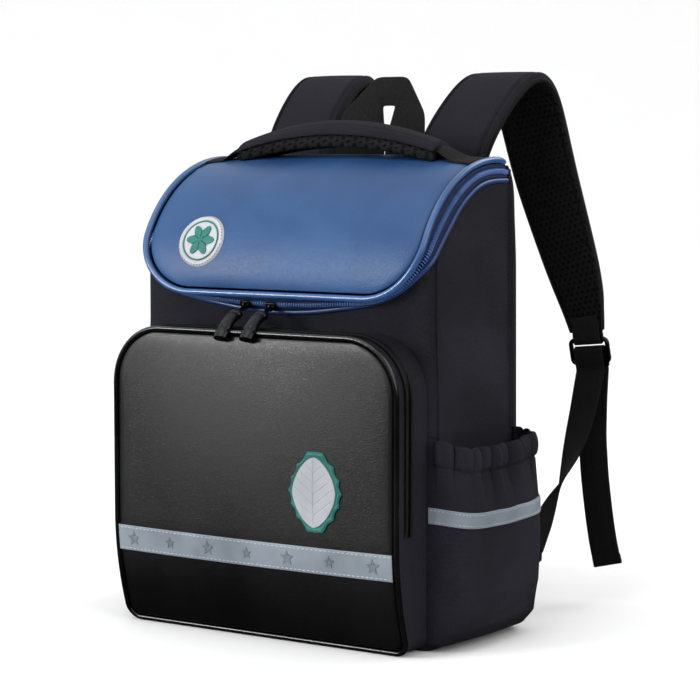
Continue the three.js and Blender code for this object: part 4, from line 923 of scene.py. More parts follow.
# %% The lid
INSET, LID_CORNER = 4.4, 52.0
LID_DIP, LID_DIP_RUN, CROWD_FRONT = 1.6, 5.0, 1.25


def corner_cut(r, d):
    """How far a rounded corner of radius r draws in at a distance d from the edge."""
    return np.where(d < r, r - np.sqrt(np.maximum(r**2 - (r - np.clip(d, 0, r)) ** 2, 0)), 0)


def rounded_half(half, length, low, high, s):
    """Half the width of a plate whose ends have rounded corners, at a distance s."""
    low_cut = corner_cut(low, s) if low else 0
    return half - np.maximum(low_cut, corner_cut(high, length - s) if high else 0)


def lid_surface(s, share, lift):
    """The hood within its piping. Its skin turns down over the last stretch by its edge,
    where the seam pulls it."""
    half = rounded_half(LID_HALF - INSET, LID_LENGTH, LID_CORNER - INSET, 0, s - INSET)
    near = np.minimum(s - INSET, (1 - np.abs(share)) * half)
    pulled = LID_DIP * np.exp(-np.maximum(near, 0) / LID_DIP_RUN)
    return hood(share * half, s, lift - pulled)


lid_s, lid_open = edged(INSET, LID_LENGTH, 90, 1.2)
lid_s = INSET + (LID_LENGTH - INSET) * ((lid_s - INSET) / (LID_LENGTH - INSET)) ** CROWD_FRONT
piece("lid_leather", skins(lid_surface, (lid_s, lid_open), edged(-1, 1, 110, 0.01), -LEATHER, 0.4),
      BLUE, "blue_leather", ["lid_panel"])

# %% [markdown]
# ## Zip and piping
# Round the lid runs a fat cord of the same leather, then the zip: a tape, the row of teeth, a
# second tape, and the body's own thin cord. Each could be a curve of its own with a bevel,
# fitted by eye. Here all of them are carried along one pair of lines, the rim of the body
# and the edge of the lid, so that they stay side by side round every bend.

# %% The zip's line
LID_FRONT_RUN = LID_HALF - LID_CORNER
LID_OUTLINE = LID_FRONT_RUN + QUARTER * LID_CORNER + ZIP_END_S - LID_CORNER


def lid_edge(run):
    """The lid's outline: along the front, round its corner, then up the side."""
    angle = np.clip((run - LID_FRONT_RUN) / LID_CORNER, 0, QUARTER)
    x = np.minimum(run, LID_FRONT_RUN) + LID_CORNER * np.sin(angle)
    s = LID_CORNER * (1 - np.cos(angle)) + np.maximum(0, run - LID_FRONT_RUN - QUARTER * LID_CORNER)
    return hood(x, s, 0.0)


zip_u = np.linspace(0, ZIP_END_U - 2 * GAP, 150)
rim = body(zip_u, rim_height(zip_u), 0.0)
rim_run = np.concatenate([[0], np.cumsum(np.linalg.norm(np.diff(rim, axis=0), axis=-1))])
lid_line = lid_edge(rim_run / rim_run[-1] * (LID_OUTLINE - 2 * GAP))


def both_sides(half_line):
    """A line on the right and its mirror image, as one line from left to right."""
    return np.concatenate([half_line[:0:-1] * [-1, 1, 1], half_line])


rim, lid_line = both_sides(rim), both_sides(lid_line)
zip_width = np.linalg.norm(lid_line - rim, axis=-1)[:, None]
zip_across = (lid_line - rim) / zip_width
zip_along = np.gradient((rim + lid_line) / 2, axis=0)
zip_along = unit(zip_along - zip_across * (zip_along * zip_across).sum(-1, keepdims=True))
zip_out = np.cross(zip_along, zip_across)
LOW_TAPE, TAPE_TO_LID, CHAIN_HALF = 4.8, 3.4, 2.4
high_tape = zip_width - TAPE_TO_LID
chain_middle = (LOW_TAPE + high_tape) / 2
print("zip:", len(rim), "stations,", round(float(zip_width.mean()), 1), "mm wide")


# %% The zip's tapes and the two cords
def zip_tape(name, low, high):
    """A flat band along the zip between two distances from the rim."""
    def band(i, share, lift):
        k = np.clip(i, 0, len(rim) - 1).astype(int)
        at = mix(low[k, 0], high[k, 0], (share + 1) / 2)[..., None]
        return rim[k] + zip_across[k] * at + zip_out[k] * lift[..., None]

    grids = skins(band, row_places(len(rim), 0.7), edged(-1, 1, 8, 0.2), -TAPE / 2, TAPE / 2)
    piece(f"tape_{name}", grids, TAPE_BLUE, "blue_tape", [f"zip_tape_{name}"])


zip_tape("lower", LOW_TAPE + 0 * zip_width, chain_middle - CHAIN_HALF)
zip_tape("upper", chain_middle + CHAIN_HALF, high_tape)
LID_CORD_R, RIM_CORD_R, RIM_CORD_AT = 2.7, 2.0, 2.4
piece("lid_cord", [cord_grid(lid_line, zip_across, LID_CORD_R, sides=16)],
      BLUE_CORD, "blue_leather", ["lid_piping"])
piece("rim_cord", [cord_grid(rim + zip_across * RIM_CORD_AT, zip_across, RIM_CORD_R, sides=14)],
      RIM_BLUE, "blue_leather", ["rim_piping"])

# %% The zip's teeth
TOOTH_PITCH, TOOTH_LIFT, TOOTH_SIZE, TOOTH_LEAN = 2.4, 0.9, (5.4, 1.25, 3.6), 0.18
teeth_line = rim + zip_across * chain_middle + zip_out * TOOTH_LIFT
tooth_at, (along, across, out) = seam(teeth_line, zip_out, TOOTH_PITCH)
lean = unit(across + TOOTH_LEAN * along)
copies("zip_teeth", *capsule(*TOOTH_SIZE), tooth_at, (lean, np.cross(out, lean), out),
       TEETH, "blue_tape", ["zip_chain"])

# %% [markdown]
# ## The front pocket
# The pocket is a flat box of cloth with a leather face. Its face is full in the middle and
# draws back at the foot, where books no longer fill it. A glossy black cord runs round the
# face, and behind it the cloth wall carries a zip round its upper part. A bevelled cube
# would give the box, but not its slack. A face by formula was chosen, because the strip, the
# stars, the patch and the stitches can all be laid on the same formula later.

# %% The pocket's face
POCKET_HALF, POCKET_TOP, POCKET_FOOT, POCKET_DEPTH = HALF - 3.5, 253.0, 1.5, 44.0
POCKET_Y = -DEEP - POCKET_DEPTH
POCKET_HEIGHT = POCKET_TOP - POCKET_FOOT
TOP_CORNER, FOOT_CORNER = 48.0, 12.0
POCKET_CORD_R, POCKET_CORD_IN = 2.2, 1.1
PANEL_INSET = POCKET_CORD_IN + POCKET_CORD_R + 0.8
TUCK_BY, TUCK_TO, POCKET_CROWN = 18.0, 95.0, 6.0
POCKET_DIP, POCKET_DIP_RUN, CROWD_ENDS = 1.2, 4.0, 0.35


def tuck(z):
    """How far the pocket draws back at its foot: the square of the height left."""
    return TUCK_BY * np.clip(1 - z / TUCK_TO, 0, 1) ** 2


def pocket_front(x, z, lift):
    """The pocket's face: two parabolas multiplied make its crown."""
    up = 2 * (z - POCKET_FOOT) / POCKET_HEIGHT - 1
    crown = POCKET_CROWN * (1 - (x / POCKET_HALF) ** 2) * (1 - up**2)
    return points(x, POCKET_Y + tuck(z) - crown - lift, z)


# %% Its leather
def panel_half(z):
    """Half the face's width at a height, with its rounded corners."""
    length = POCKET_HEIGHT - 2 * PANEL_INSET
    return rounded_half(POCKET_HALF - PANEL_INSET, length, FOOT_CORNER - PANEL_INSET,
                        TOP_CORNER - PANEL_INSET, z - POCKET_FOOT - PANEL_INSET)


def panel_surface(z, share, lift):
    """The face within its cord, drawn in by its seam."""
    half = panel_half(z)
    near = np.minimum((1 - np.abs(share)) * half, POCKET_TOP - PANEL_INSET - z)
    pulled = POCKET_DIP * np.exp(-np.maximum(near, 0) / POCKET_DIP_RUN)
    return pocket_front(share * half, z, lift - pulled)


panel_z, panel_open = edged(POCKET_FOOT + PANEL_INSET, POCKET_TOP - PANEL_INSET, 120, 1.2)
span = panel_z[-1] - panel_z[0]
up = (panel_z - panel_z[0]) / span
up = up - CROWD_ENDS * np.sin(2 * np.pi * up) / (2 * np.pi)
panel_rows = (panel_z[0] + span * up, panel_open)
piece("pocket_leather", skins(panel_surface, panel_rows, edged(-1, 1, 100, 0.01), -LEATHER, 0.3),
      BLACK, "black_leather", ["pocket_panel"])


# %% The pocket's outline
def arc_rows(x, z, r, start):
    """A quarter circle from an angle on. Columns: x, z and the normal's two parts."""
    a = start + np.linspace(0, QUARTER, 13)
    return np.stack([x + r * np.cos(a), z + r * np.sin(a), np.cos(a), np.sin(a)], axis=-1)


def pocket_outline():
    """The pocket's outline once round, from the middle of its foot: four straights and
    four quarter circles."""
    x, r, f = POCKET_HALF, TOP_CORNER, FOOT_CORNER
    side_z = np.linspace(POCKET_FOOT + f, POCKET_TOP - r, 24)[1:-1]
    side = np.stack(np.broadcast_arrays(x, side_z, 1, 0), axis=-1)
    right = np.concatenate([
        [[0, POCKET_FOOT, 0, -1]], arc_rows(x - f, POCKET_FOOT + f, f, -QUARTER),
        side, arc_rows(x - r, POCKET_TOP - r, r, 0.0), [[0, POCKET_TOP, 0, 1]],
    ])
    return np.concatenate([right, right[-2:0:-1] * [-1, 1, -1, 1]])


outline = pocket_outline()
out_x, out_z, out_nx, out_nz = outline.T
print("pocket outline:", len(outline), "points")


def outline_point(y, inset):
    """The outline's points at a depth y, moved in along the outline's normal."""
    return points(out_x - inset * out_nx, y, out_z - inset * out_nz)


# %% The pocket's cord and wall
front_y = POCKET_Y + tuck(out_z)
cord_line = outline_point(front_y + POCKET_CORD_IN, POCKET_CORD_IN)
cord_hint = points(out_nx, 0, out_nz)
piece("pocket_cord", [cord_grid(cord_line, cord_hint, POCKET_CORD_R, sides=14, loop=True)],
      BLACK_CORD, "black_plastic", ["pocket_piping"])
BEHIND_CORD, WALL_DIP = 3.7, 0.8


def pocket_wall(inset):
    """From behind the cord straight back to the body, with a shallow dip by half a sine."""
    grid = np.stack([
        outline_point(mix(front_y + BEHIND_CORD, -DEEP - GAP, t), inset + WALL_DIP * np.sin(np.pi * t))
        for t in np.linspace(0, 1, 15)
    ])
    return np.concatenate([grid, grid[:, :1]], axis=1)


wall_out, wall_in = pocket_wall(0.0), pocket_wall(CLOTH)
piece("pocket_wall", [wall_out, np.stack([wall_in[0], wall_out[0]]), wall_in[::-1],
                      np.stack([wall_out[-1], wall_in[-1]])],
      OXFORD, "oxford_cloth", ["pocket_gusset"])

# %% The pocket's zip
POCKET_ZIP_FOOT, POCKET_ZIP_PLACE, POCKET_TAPE_IN, POCKET_TAPE_OUT = 96, 0.62, 1.7, 5.5
on_zip = (out_z >= POCKET_ZIP_FOOT) & (np.arange(len(outline)) > 0)
ZIP_Y = -DEEP - POCKET_DEPTH * POCKET_ZIP_PLACE
zip_centre = outline_point(ZIP_Y, -GAP - TAPE / 2)[on_zip]
zip_normal = cord_hint[on_zip]


def pocket_band(low, high):
    """A flat band on the wall, between two distances along y."""
    def band(i, share, lift):
        k = i.astype(int)
        aside = np.array([0.0, 1.0, 0.0]) * mix(low, high, (share + 1) / 2)[..., None]
        return zip_centre[k] + aside + zip_normal[k] * lift[..., None]

    return skins(band, row_places(len(zip_centre)), edged(-1, 1, 6, 0.2), -0.6, 0.5)


bands = pocket_band(-POCKET_TAPE_OUT, -POCKET_TAPE_IN) + pocket_band(POCKET_TAPE_IN, POCKET_TAPE_OUT)
piece("pocket_tape", bands, WEB, "black_webbing", ["pocket_zip"])
teeth_at, (along, across, out) = seam(zip_centre, zip_normal, 1.5)
copies("pocket_teeth", *capsule(3.4, 1.0, 1.8), teeth_at, (across, along, out),
       PLASTIC, "black_plastic")

# %% [markdown]
# ## Side pockets
# Each side pocket is a wide piece of cloth drawn in by elastic at its top, so that its hem
# puffs out between folds which fade towards the middle. A cloth simulation that shortens the
# top edge would gather it. Formulas were chosen, because they put the hem, the folds and the
# strip where the photograph has them: the surface is the pocket's plan walked from its front
# seam to its back seam, times how full it is at each height, less the folds.

# %% The side pocket's plan
SIDE_DEPTH, SIDE_CORNER, SIDE_FOOT, SIDE_TOP = 34.0, 24.0, 2.0, 163.0
SIDE_REACH = DEEP - 1
BELLOWS = SIDE_DEPTH - SIDE_CORNER
SIDE_ARC = QUARTER * SIDE_CORNER
SIDE_FLAT = 2 * (SIDE_REACH - SIDE_CORNER)
GIRTH = 2 * BELLOWS + 2 * SIDE_ARC + SIDE_FLAT
# Columns: share of the height, share of the full depth.
SWELL = np.array([
    [0, 0], [0.03, 0.5], [0.1, 0.84], [0.26, 1], [0.55, 1], [0.66, 0.97], [0.86, 0.8], [1, 0.76],
])
print("side pocket:", round(GIRTH), "mm round")


def side_plan(q):
    """A share of the way round gives y, how far out, and the normal: a short straight, a
    quarter circle, the flat face, and the same again."""
    run = np.minimum(q, 1 - q) * GIRTH
    mirror = np.where(q > 0.5, 1.0, -1.0)
    angle = np.clip((run - BELLOWS) / SIDE_CORNER, 0, QUARTER)
    past = np.maximum(0, run - BELLOWS - SIDE_ARC)
    y = mirror * (SIDE_REACH - SIDE_CORNER + SIDE_CORNER * np.cos(angle) - past)
    out_by = (np.minimum(run, BELLOWS) + SIDE_CORNER * np.sin(angle)) / SIDE_DEPTH
    return y, out_by, np.sin(angle), mirror * np.cos(angle)


# %% The folds and the hem
FOLDS, FOLD_SHARP, HEM_FROM, FADE_DOWN = 12, 0.42, 0.875, 0.34
FOLD_DEEP, HEM_FOLD_DEEP, HEM_PUFF, HEM_DIP, HEM_SEAM = 4.4, 6.4, 3.4, 0.8, 0.9
WRINKLE_BY, SLACK_BY = 1.7, 1.2


def side_folds(share, q, side):
    """A crease is 1 less a root of a sine's size, so it is sharp and narrow. Gives the
    creases and how far the cloth moves out: a puffed hem over a pressed seam, with
    wrinkles that fade downwards and a slow wave, less the creases."""
    drift = 0.24 * np.sin(13 * q + side) + 0.6 * (1 - share) * np.sin(8 * q)
    crease = 1 - np.abs(np.sin(np.pi * (FOLDS * q + drift))) ** FOLD_SHARP
    hem = smooth((share - HEM_FROM) / 0.015)
    in_hem = np.clip((share - HEM_FROM) / (1 - HEM_FROM), 0, 1)
    near_hem = 1 - np.clip((HEM_FROM - share) / FADE_DOWN, 0, 1)
    uneven = 0.7 + 0.36 * np.sin(31 * q + 2 * side)
    depth = mix(FOLD_DEEP * near_hem**2.6, HEM_FOLD_DEEP, hem) * uneven
    wrinkle = WRINKLE_BY * np.sin(2 * np.pi * (5.5 * q + 0.8 * share)) * near_hem
    wrinkle = wrinkle * smooth((share - 0.45) / 0.2)
    puff = hem * (HEM_PUFF * np.sqrt(np.clip(np.sin(np.pi * in_hem), 0, 1)) - HEM_DIP)
    dent = -HEM_SEAM * ridge(share, HEM_FROM, 0.007)
    slack = SLACK_BY * np.sin(4.5 * q + 7 * share)
    slack = slack * smooth(share / 0.25) * smooth((0.62 - share) / 0.3)
    return crease * in_hem, puff + dent + wrinkle + slack - depth * crease * (share > 0.4)


# %% The side pocket's surface
FRONT_RISE, BACK_RISE, PINCH = 8, 6, 3.4


def side_pocket(side):
    """The pocket on one side, as a function of height, way round and lift: its plan times
    its fullness, moved along the plan's normal, and never into the body."""
    def surface(share, q, lift):
        y, out_by, nx, ny = side_plan(q)
        along = y / SIDE_REACH
        ends = np.clip(np.sin(np.pi * np.clip(q, 0, 1)) * 3, 0, 1)
        pinched, outward = side_folds(share, q, side)
        rise = FRONT_RISE * np.maximum(0, -along) ** 5 + BACK_RISE * np.maximum(0, along) ** 2
        floor = np.maximum(0, -lift) * (1 - smooth(share / 0.1))
        z = mix(SIDE_FOOT, SIDE_TOP + rise - PINCH * pinched * ends, share) + floor
        full = np.interp(share, SWELL[:, 0], SWELL[:, 1]) * mix(0.8, 1, smooth(along + 1))
        move = lift + outward * ends
        reach = np.maximum(0, out_by * SIDE_DEPTH * full + move * nx)
        moved = y + move * ny
        into = np.maximum(0, np.minimum(np.abs(moved), SIDE_REACH) - (DEEP - CORNER))
        base = FRONT_RUN + np.sqrt(CORNER**2 - into**2)
        return points(side * (base + GAP + reach), moved, z)

    return surface


# %% The side pockets with their strips
SIDE_STRIP = (np.array([99, 111.5]) - SIDE_FOOT) / (SIDE_TOP - SIDE_FOOT)
STITCH_IN = 0.012
side_rows = np.concatenate([
    np.linspace(0, 0.12, 9)[:-1], np.linspace(0.12, 0.85, 50)[:-1],
    np.linspace(0.85, 0.97, 22)[:-1], 0.97 + 0.03 * np.sin(np.linspace(0, QUARTER, 7)),
])
side_open = np.concatenate([[0], np.ones(len(side_rows) - 3), [0.8, 0]])
side_round, q = edged(0, 1, 320, 0.004), np.linspace(0.03, 0.97, 400)
for name, side in (("left", -1), ("right", 1)):
    surface = side_pocket(side)
    piece(f"side_cloth_{name}", skins(surface, (side_rows, side_open), side_round, -CLOTH, 0.0),
          OXFORD, "oxford_cloth", [f"side_pocket_{name}"])
    band = skins(surface, edged(*SIDE_STRIP, 8, 0.004), edged(0.02, 0.98, 200, 0.002),
                 GAP * 0.5, GAP + 0.8)
    piece(f"side_band_{name}", band, STRIP, "reflective", [f"side_strip_{name}"])
    seams = [seam(*line_on(surface, height + 0 * q, q, GAP + 0.85), 3.4)
             for height in SIDE_STRIP + [STITCH_IN, -STITCH_IN]]
    stitches(f"side_stitches_{name}", seams, (2.3, 0.7, 0.5), PALE_THREAD, "reflective")

# %% [markdown]
# ## Sliders and pulls
# Two moulded sliders meet on the front of the lid's zip. Each has an arched bail that
# holds a short cord with a moulded grip, laid forward over the pocket. They could be
# bevelled cubes with booleans. Rounded blocks by formula and cords whose radius swells and
# ripples were chosen, because they are closed, light and smooth however near one looks.

# %% Sliders and pulls
def pebble(centre, axes, size, power=0.45):
    """A rounded block: a ball whose sines and cosines are raised to a power below one."""
    up, turn = np.linspace(-QUARTER, QUARTER, 13), np.linspace(0, 4 * QUARTER, 29)
    a, b = np.meshgrid(up, turn, indexing="ij")
    soft = lambda w: np.sign(w) * np.abs(w) ** power
    parts = (soft(np.cos(a) * np.cos(b)), soft(np.cos(a) * np.sin(b)), soft(np.sin(a)))
    return centre + sum(p[..., None] * axis * half / 2 for p, axis, half in zip(parts, axes, size))


SLIDER_SIZE, BRIDGE_SIZE = (11, 8, 2.8), (8, 3.4, 1.6)


def slider(middle, along, across, out, lift):
    """A rounded block on the teeth with a narrower one over it and an arched bail."""
    base = middle + out * lift
    block = pebble(base + out * 1.4, (along, across, out), SLIDER_SIZE)
    bridge = pebble(base + out * 2.6, (along, across, out), BRIDGE_SIZE)
    arch = np.linspace(0, 2 * QUARTER, 15)[:, None]
    bail = base + out * 2.6 + across * 3.0 * np.cos(arch) + out * 2.6 * np.sin(arch)
    return [block, bridge, cord_grid(bail, along, 1.1, 0.8, sides=8)]


# %% The pulls
def zip_place(x):
    """The zip's middle and directions nearest to a place across the front."""
    k = np.argmin(np.abs(rim[:, 0] - x))
    shift = np.array([x - rim[k, 0], 0, 0])
    middle = rim[k] + shift + zip_across[k] * chain_middle[k]
    return middle, zip_along[k], zip_across[k], zip_out[k]


PULL_LENGTH, PULL_FROM, PULL_DROP, PULL_LEAN = 41.0, 5.2, 9.5, 0.12
STRAND_R, STRAND_ASIDE, GRIP_SIZE = 1.0, 1.3, (6.4, 4.4)
REST_LENGTH, REST_HEIGHT = 31.0, POCKET_TOP + 2 * GAP + TAPE + 4.6
GRIP_FROM, STRAND_TO = 26, 34


def pull(middle, out):
    """A doubled cord and a ribbed grip: a circle whose radius swells, then dips in three
    bell curves. It leads straight to the pocket's top and then falls by a square."""
    start = middle + out * PULL_FROM
    run = unit(np.array([PULL_LEAN, -1.0, 0.0])) + [0, 0, (REST_HEIGHT - start[2]) / REST_LENGTH]
    t = np.linspace(0, 1, 90)
    fall = points(0, 0, -PULL_DROP * np.clip((t - 0.5) / 0.5, 0, 1) ** 2)
    line, level = start + run * PULL_LENGTH * t[:, None] + fall, np.array([1.0, PULL_LEAN, 0])
    grip = smooth((t - 0.3) / 0.05) * (1 - 0.12 * smooth((t - 0.9) / 0.1))
    rings = 0.16 * ridge(t, 0.46, 0.025) + 0.16 * ridge(t, 0.86, 0.02) + 0.05 * ridge(t, 0.66, 0.12)
    profile = ((0.45 + 0.55 * grip) * (1 - rings))[GRIP_FROM:]
    strands = [cord_grid(line[:STRAND_TO] + level * aside, level, STRAND_R, sides=8)
               for aside in (-STRAND_ASIDE, STRAND_ASIDE)]
    return strands + [cord_grid(line[GRIP_FROM:], level, *GRIP_SIZE, sides=20, profile=profile)]


for name, x in (("left", -28.5), ("right", -3.5)):
    middle, along, across, out = zip_place(x)
    piece(f"slider_{name}", slider(middle, along, across, out, 1.6), PLASTIC, "black_plastic",
          [f"lid_slider_{name}"], SHARP_MOULDED)
    piece(f"pull_{name}", pull(middle, out), PLASTIC, "black_plastic", [f"lid_pull_{name}"],
          SHARP_MOULDED)
side_axes = np.eye(3)[[2, 1, 0]] * [[1], [1], [-1]]
pocket_middle = np.array([-POCKET_HALF - GAP - TAPE, ZIP_Y, 107.0])
piece("slider_pocket", slider(pocket_middle, *side_axes, 0.2), PLASTIC, "black_plastic",
      ["pocket_slider"], SHARP_MOULDED)

# %% [markdown]
# ## Badge and patch
# The badge on the lid and the patch on the pocket are soft moulded rubber, each with a
# raised figure: a flower and a leaf. They could be sculpted, or extruded from curves. Plates
# on the bag's own surfaces were chosen, whose outline is a radius for every angle and whose
# height is a sum of bell curves, because they then lie close on the curved lid and pocket.

# %% Plates of moulded rubber
def disc(surface, radius, low, high, rings, count=120):
    """A plate on a surface: its outline is a radius by angle, its top a height by share
    of that radius and angle."""
    share, angle = np.meshgrid(rings, np.linspace(0, 4 * QUARTER, count + 1), indexing="ij")
    r = share * radius(angle)
    a, b = r * np.cos(angle), r * np.sin(angle)
    top, under = surface(a, b, high(share, angle)), surface(a, b, low + 0 * r)
    return [top, np.stack([top[-1], under[-1]]), under[::-1]]


RINGS = np.concatenate([
    np.linspace(0, 0.8, 14)[:-1], np.linspace(0.8, 0.97, 12)[:-1], np.linspace(0.97, 1, 5),
])
print("rings of a plate:", len(RINGS))

# %% The badge
BADGE_X, BADGE_S, BADGE_R, RING_R, STITCH_R = -79.0, 45.0, 23.0, 17.3, 21.6
PETAL_R, PETALS, DISC_TOP = 14.0, 6, GAP + 1.6


def on_badge(a, b, lift):
    """The lid's surface about the badge's middle."""
    return hood(a + BADGE_X, BADGE_S + b, lift)


def disc_height(s, a):
    """A flat plate with a raised rim inside a fine line, and a rounded edge."""
    rim_up = 0.6 * ridge(s, 0.91, 0.045) - 0.5 * ridge(s, 0.8, 0.012)
    return DISC_TOP - 0.1 + rim_up - 1.0 * smooth((s - 0.96) / 0.04)


def petal_height(s, a):
    """Domed petals: pressed between each other, round the eye and along their middles."""
    between = 0.7 * ridge(np.cos(PETALS / 2 * a), 0, 0.18) * smooth(s / 0.3)
    along_petal = 0.25 * ridge(np.sin(PETALS / 2 * a), 0, 0.1) * smooth((s - 0.3) / 0.2)
    return DISC_TOP + GAP + 1.0 - 0.5 * s**4 - between - 0.45 * ridge(s, 0.33, 0.05) - along_petal


def petal_radius(a):
    """Six petals: a radius that dips between them by a cosine."""
    return PETAL_R * (1 - 0.2 * (1 - np.cos(PETALS * a)))


piece("badge_plate", disc(on_badge, lambda a: BADGE_R + 0 * a, GAP, disc_height, RINGS),
      SILVER, "silver_rubber", ["badge_disc"])
piece("badge_petals", disc(on_badge, petal_radius, DISC_TOP - 0.2, petal_height, RINGS, 240),
      TEAL, "teal_rubber", ["badge_flower"])
turn = np.linspace(0, 4 * QUARTER, 97)[:-1]
ring_line = on_badge(RING_R * np.cos(turn), RING_R * np.sin(turn), DISC_TOP - 0.1)
stitch_line = on_badge(STITCH_R * np.cos(turn), STITCH_R * np.sin(turn), DISC_TOP + 0.35)
badge_out = np.broadcast_to(line_on(on_badge, 0.0, 0.0)[1], stitch_line.shape)
stitches("badge_stitches", [seam(stitch_line, badge_out, 2.9)], (1.9, 0.6, 0.5), THREAD,
         "silver_rubber")
piece("badge_ring", [cord_grid(ring_line, np.array([0, 0.4, 0.9]), 0.7, 0.7, sides=8, loop=True)],
      TEAL, "teal_rubber")

# %% The patch
PATCH_X, PATCH_Z, PATCH_HALF, PATCH_TOP = 68.0, 129.0, (25.0, 35.0), GAP + 2.0
SCALLOPS, SCALLOP_BY, LEAF_SHARE, OVAL_POWER = 7, 0.08, 0.8, 1.6
VEIN_PITCH, VEIN_SLANT = 8.5, 0.75


def on_patch(a, b, lift):
    """The pocket's face about the patch's middle."""
    return pocket_front(PATCH_X + a, PATCH_Z + b, lift)


def oval(share, scallop):
    """The radius of an upright oval by angle, a little pointed at its ends, with scallops
    along its edge."""
    a, b = share * PATCH_HALF[0], share * PATCH_HALF[1]

    def radius(t):
        tall, wide = (b * np.abs(np.cos(t))) ** OVAL_POWER, (a * np.abs(np.sin(t))) ** OVAL_POWER
        return a * b / (tall + wide) ** (1 / OVAL_POWER) * (1 - scallop * np.abs(np.sin(SCALLOPS * t)))

    return radius


def base_height(s, a):
    """A flat plate with a raised rim and a rounded edge."""
    return PATCH_TOP - 0.2 + 0.4 * ridge(s, 0.93, 0.03) - 0.8 * smooth((s - 0.965) / 0.035)


def leaf_height(s, a):
    """A domed leaf with a groove down its middle and slanting veins pressed into it."""
    r = s * oval(LEAF_SHARE, 0)(a)
    x, y = r * np.cos(a), r * np.sin(a)
    vein = np.abs(np.mod(y - VEIN_SLANT * np.abs(x) + 40, VEIN_PITCH) - VEIN_PITCH / 2)
    edge = smooth((1 - s) / 0.15)
    pressed = 0.55 * ridge(x, 0, 0.7) + 0.4 * ridge(vein, 0, 0.45) * edge
    return PATCH_TOP + GAP + 1.1 - 0.6 * s**4 - pressed * smooth((1 - s) / 0.06)


piece("patch_plate", disc(on_patch, oval(1, SCALLOP_BY), GAP, base_height, RINGS, 240),
      TEAL, "teal_rubber", ["patch_base"])
leaf_rings = np.concatenate([np.linspace(0, 0.95, 60)[:-1], np.linspace(0.95, 1, 5)])
leaf = disc(on_patch, oval(LEAF_SHARE, 0), PATCH_TOP - 0.3, leaf_height, leaf_rings, 240)
piece("patch_figure", leaf, GREY, "silver_rubber", ["patch_leaf"])

# %% [markdown]
# ## The reflective strip
# A grey reflective band is sewn across the pocket's face, with a row of pressed stars. An
# image could draw the stars. Thin shapes were chosen, because their raised rims catch the
# light as the pressed ones do.

# %% The strip and its stitches
FRONT_LOW, FRONT_HIGH, FRONT_STITCH_IN = 63.0, 84.5, 2


def on_panel(z, share, lift):
    """The pocket's face by height and share of its width."""
    return pocket_front(share * panel_half(z), z, lift)


strip_rows = edged(FRONT_LOW, FRONT_HIGH, 12, 0.5)
piece("front_band", skins(on_panel, strip_rows, edged(-1, 1, 90, 0.004), 0.1, 1.2),
      STRIP, "reflective", ["front_strip"])
share = np.linspace(-0.985, 0.985, 500)
seams = [seam(*line_on(on_panel, z + 0 * share, share, 1.25), 4.2)
         for z in (FRONT_LOW + FRONT_STITCH_IN, FRONT_HIGH - FRONT_STITCH_IN)]
stitches("front_stitches", seams, (2.8, 0.75, 0.55), PALE_THREAD, "reflective")

# %% The stars
# Columns: share of the star's radius, height.
STAR_PITCH, STAR_SMALL, STAR_LARGE = 40.0, 5.4, 6.9
STAR_RINGS = ((0, -0.2), (1, -0.2), (0.86, 0.75), (0.6, 0.7), (0.5, 0.25), (0, 0.3))


def star():
    """A five-pointed star: rings of ten corners whose radius alternates, raised to a rim."""
    turn = np.linspace(0, 4 * QUARTER, 11) + QUARTER
    length = np.where(np.arange(11) % 2, 0.45, 1.0)
    ring = [points(r * length * np.cos(turn), r * length * np.sin(turn), z) for r, z in STAR_RINGS]
    return np.stack(ring).reshape(-1, 3), corners(np.arange(66).reshape(6, 11))


star_x = np.arange(-3, 4) * STAR_PITCH
middle_z = (FRONT_LOW + FRONT_HIGH) / 2
star_at, star_out = line_on(pocket_front, star_x, middle_z + 0 * star_x, 1.2)
low = pocket_front(star_x, middle_z - 1, 1.2)
star_up = unit(star_at - low)
star_right = np.cross(star_up, star_out)
size = np.where(np.arange(7) % 2, STAR_SMALL, STAR_LARGE)[:, None]
copies("front_stars", *star(), star_at, (star_right * size, star_up * size, star_out), STAR,
       "reflective")

# %% [markdown]
# ## The handle
# The grab handle is a padded arch of cloth with mesh below. Its ends are webbing, sewn
# down on the lid with a crossed box. It could be a bevelled cube bent by a curve. A
# parabola along it and a bow across it were chosen, for the cushion, the mesh and the
# webbing then follow each other without a gap.

# %% The handle's cushion and mesh
HANDLE_Y, HANDLE_Z, PAD_SPAN, HANDLE_HALF = DEEP - 45, LID_TOP + 2, 100.0, 15.0
ARCH_HALF, ARCH_RISE, HANDLE_BOW = 130.0, 30.0, 7.5
HANDLE_SEAM, HANDLE_SEAM_DIP = 0.74, 0.9


def handle_point(x, v, lift):
    """A parabola along the handle, bowed across it, thinner towards its ends."""
    arch = 1 - (x / ARCH_HALF) ** 2
    z = HANDLE_Z + ARCH_RISE * arch - HANDLE_BOW * v**2 * mix(0.4, 1, arch)
    return points(x, HANDLE_Y + v * HANDLE_HALF, z + lift * mix(0.7, 1, arch))


def handle_top(x, v, lift):
    """The handle with a pressed seam line near each of its edges."""
    pressed = HANDLE_SEAM_DIP * ridge(np.abs(v), HANDLE_SEAM, 0.05) * (lift > -2)
    return handle_point(x, v, lift - pressed)


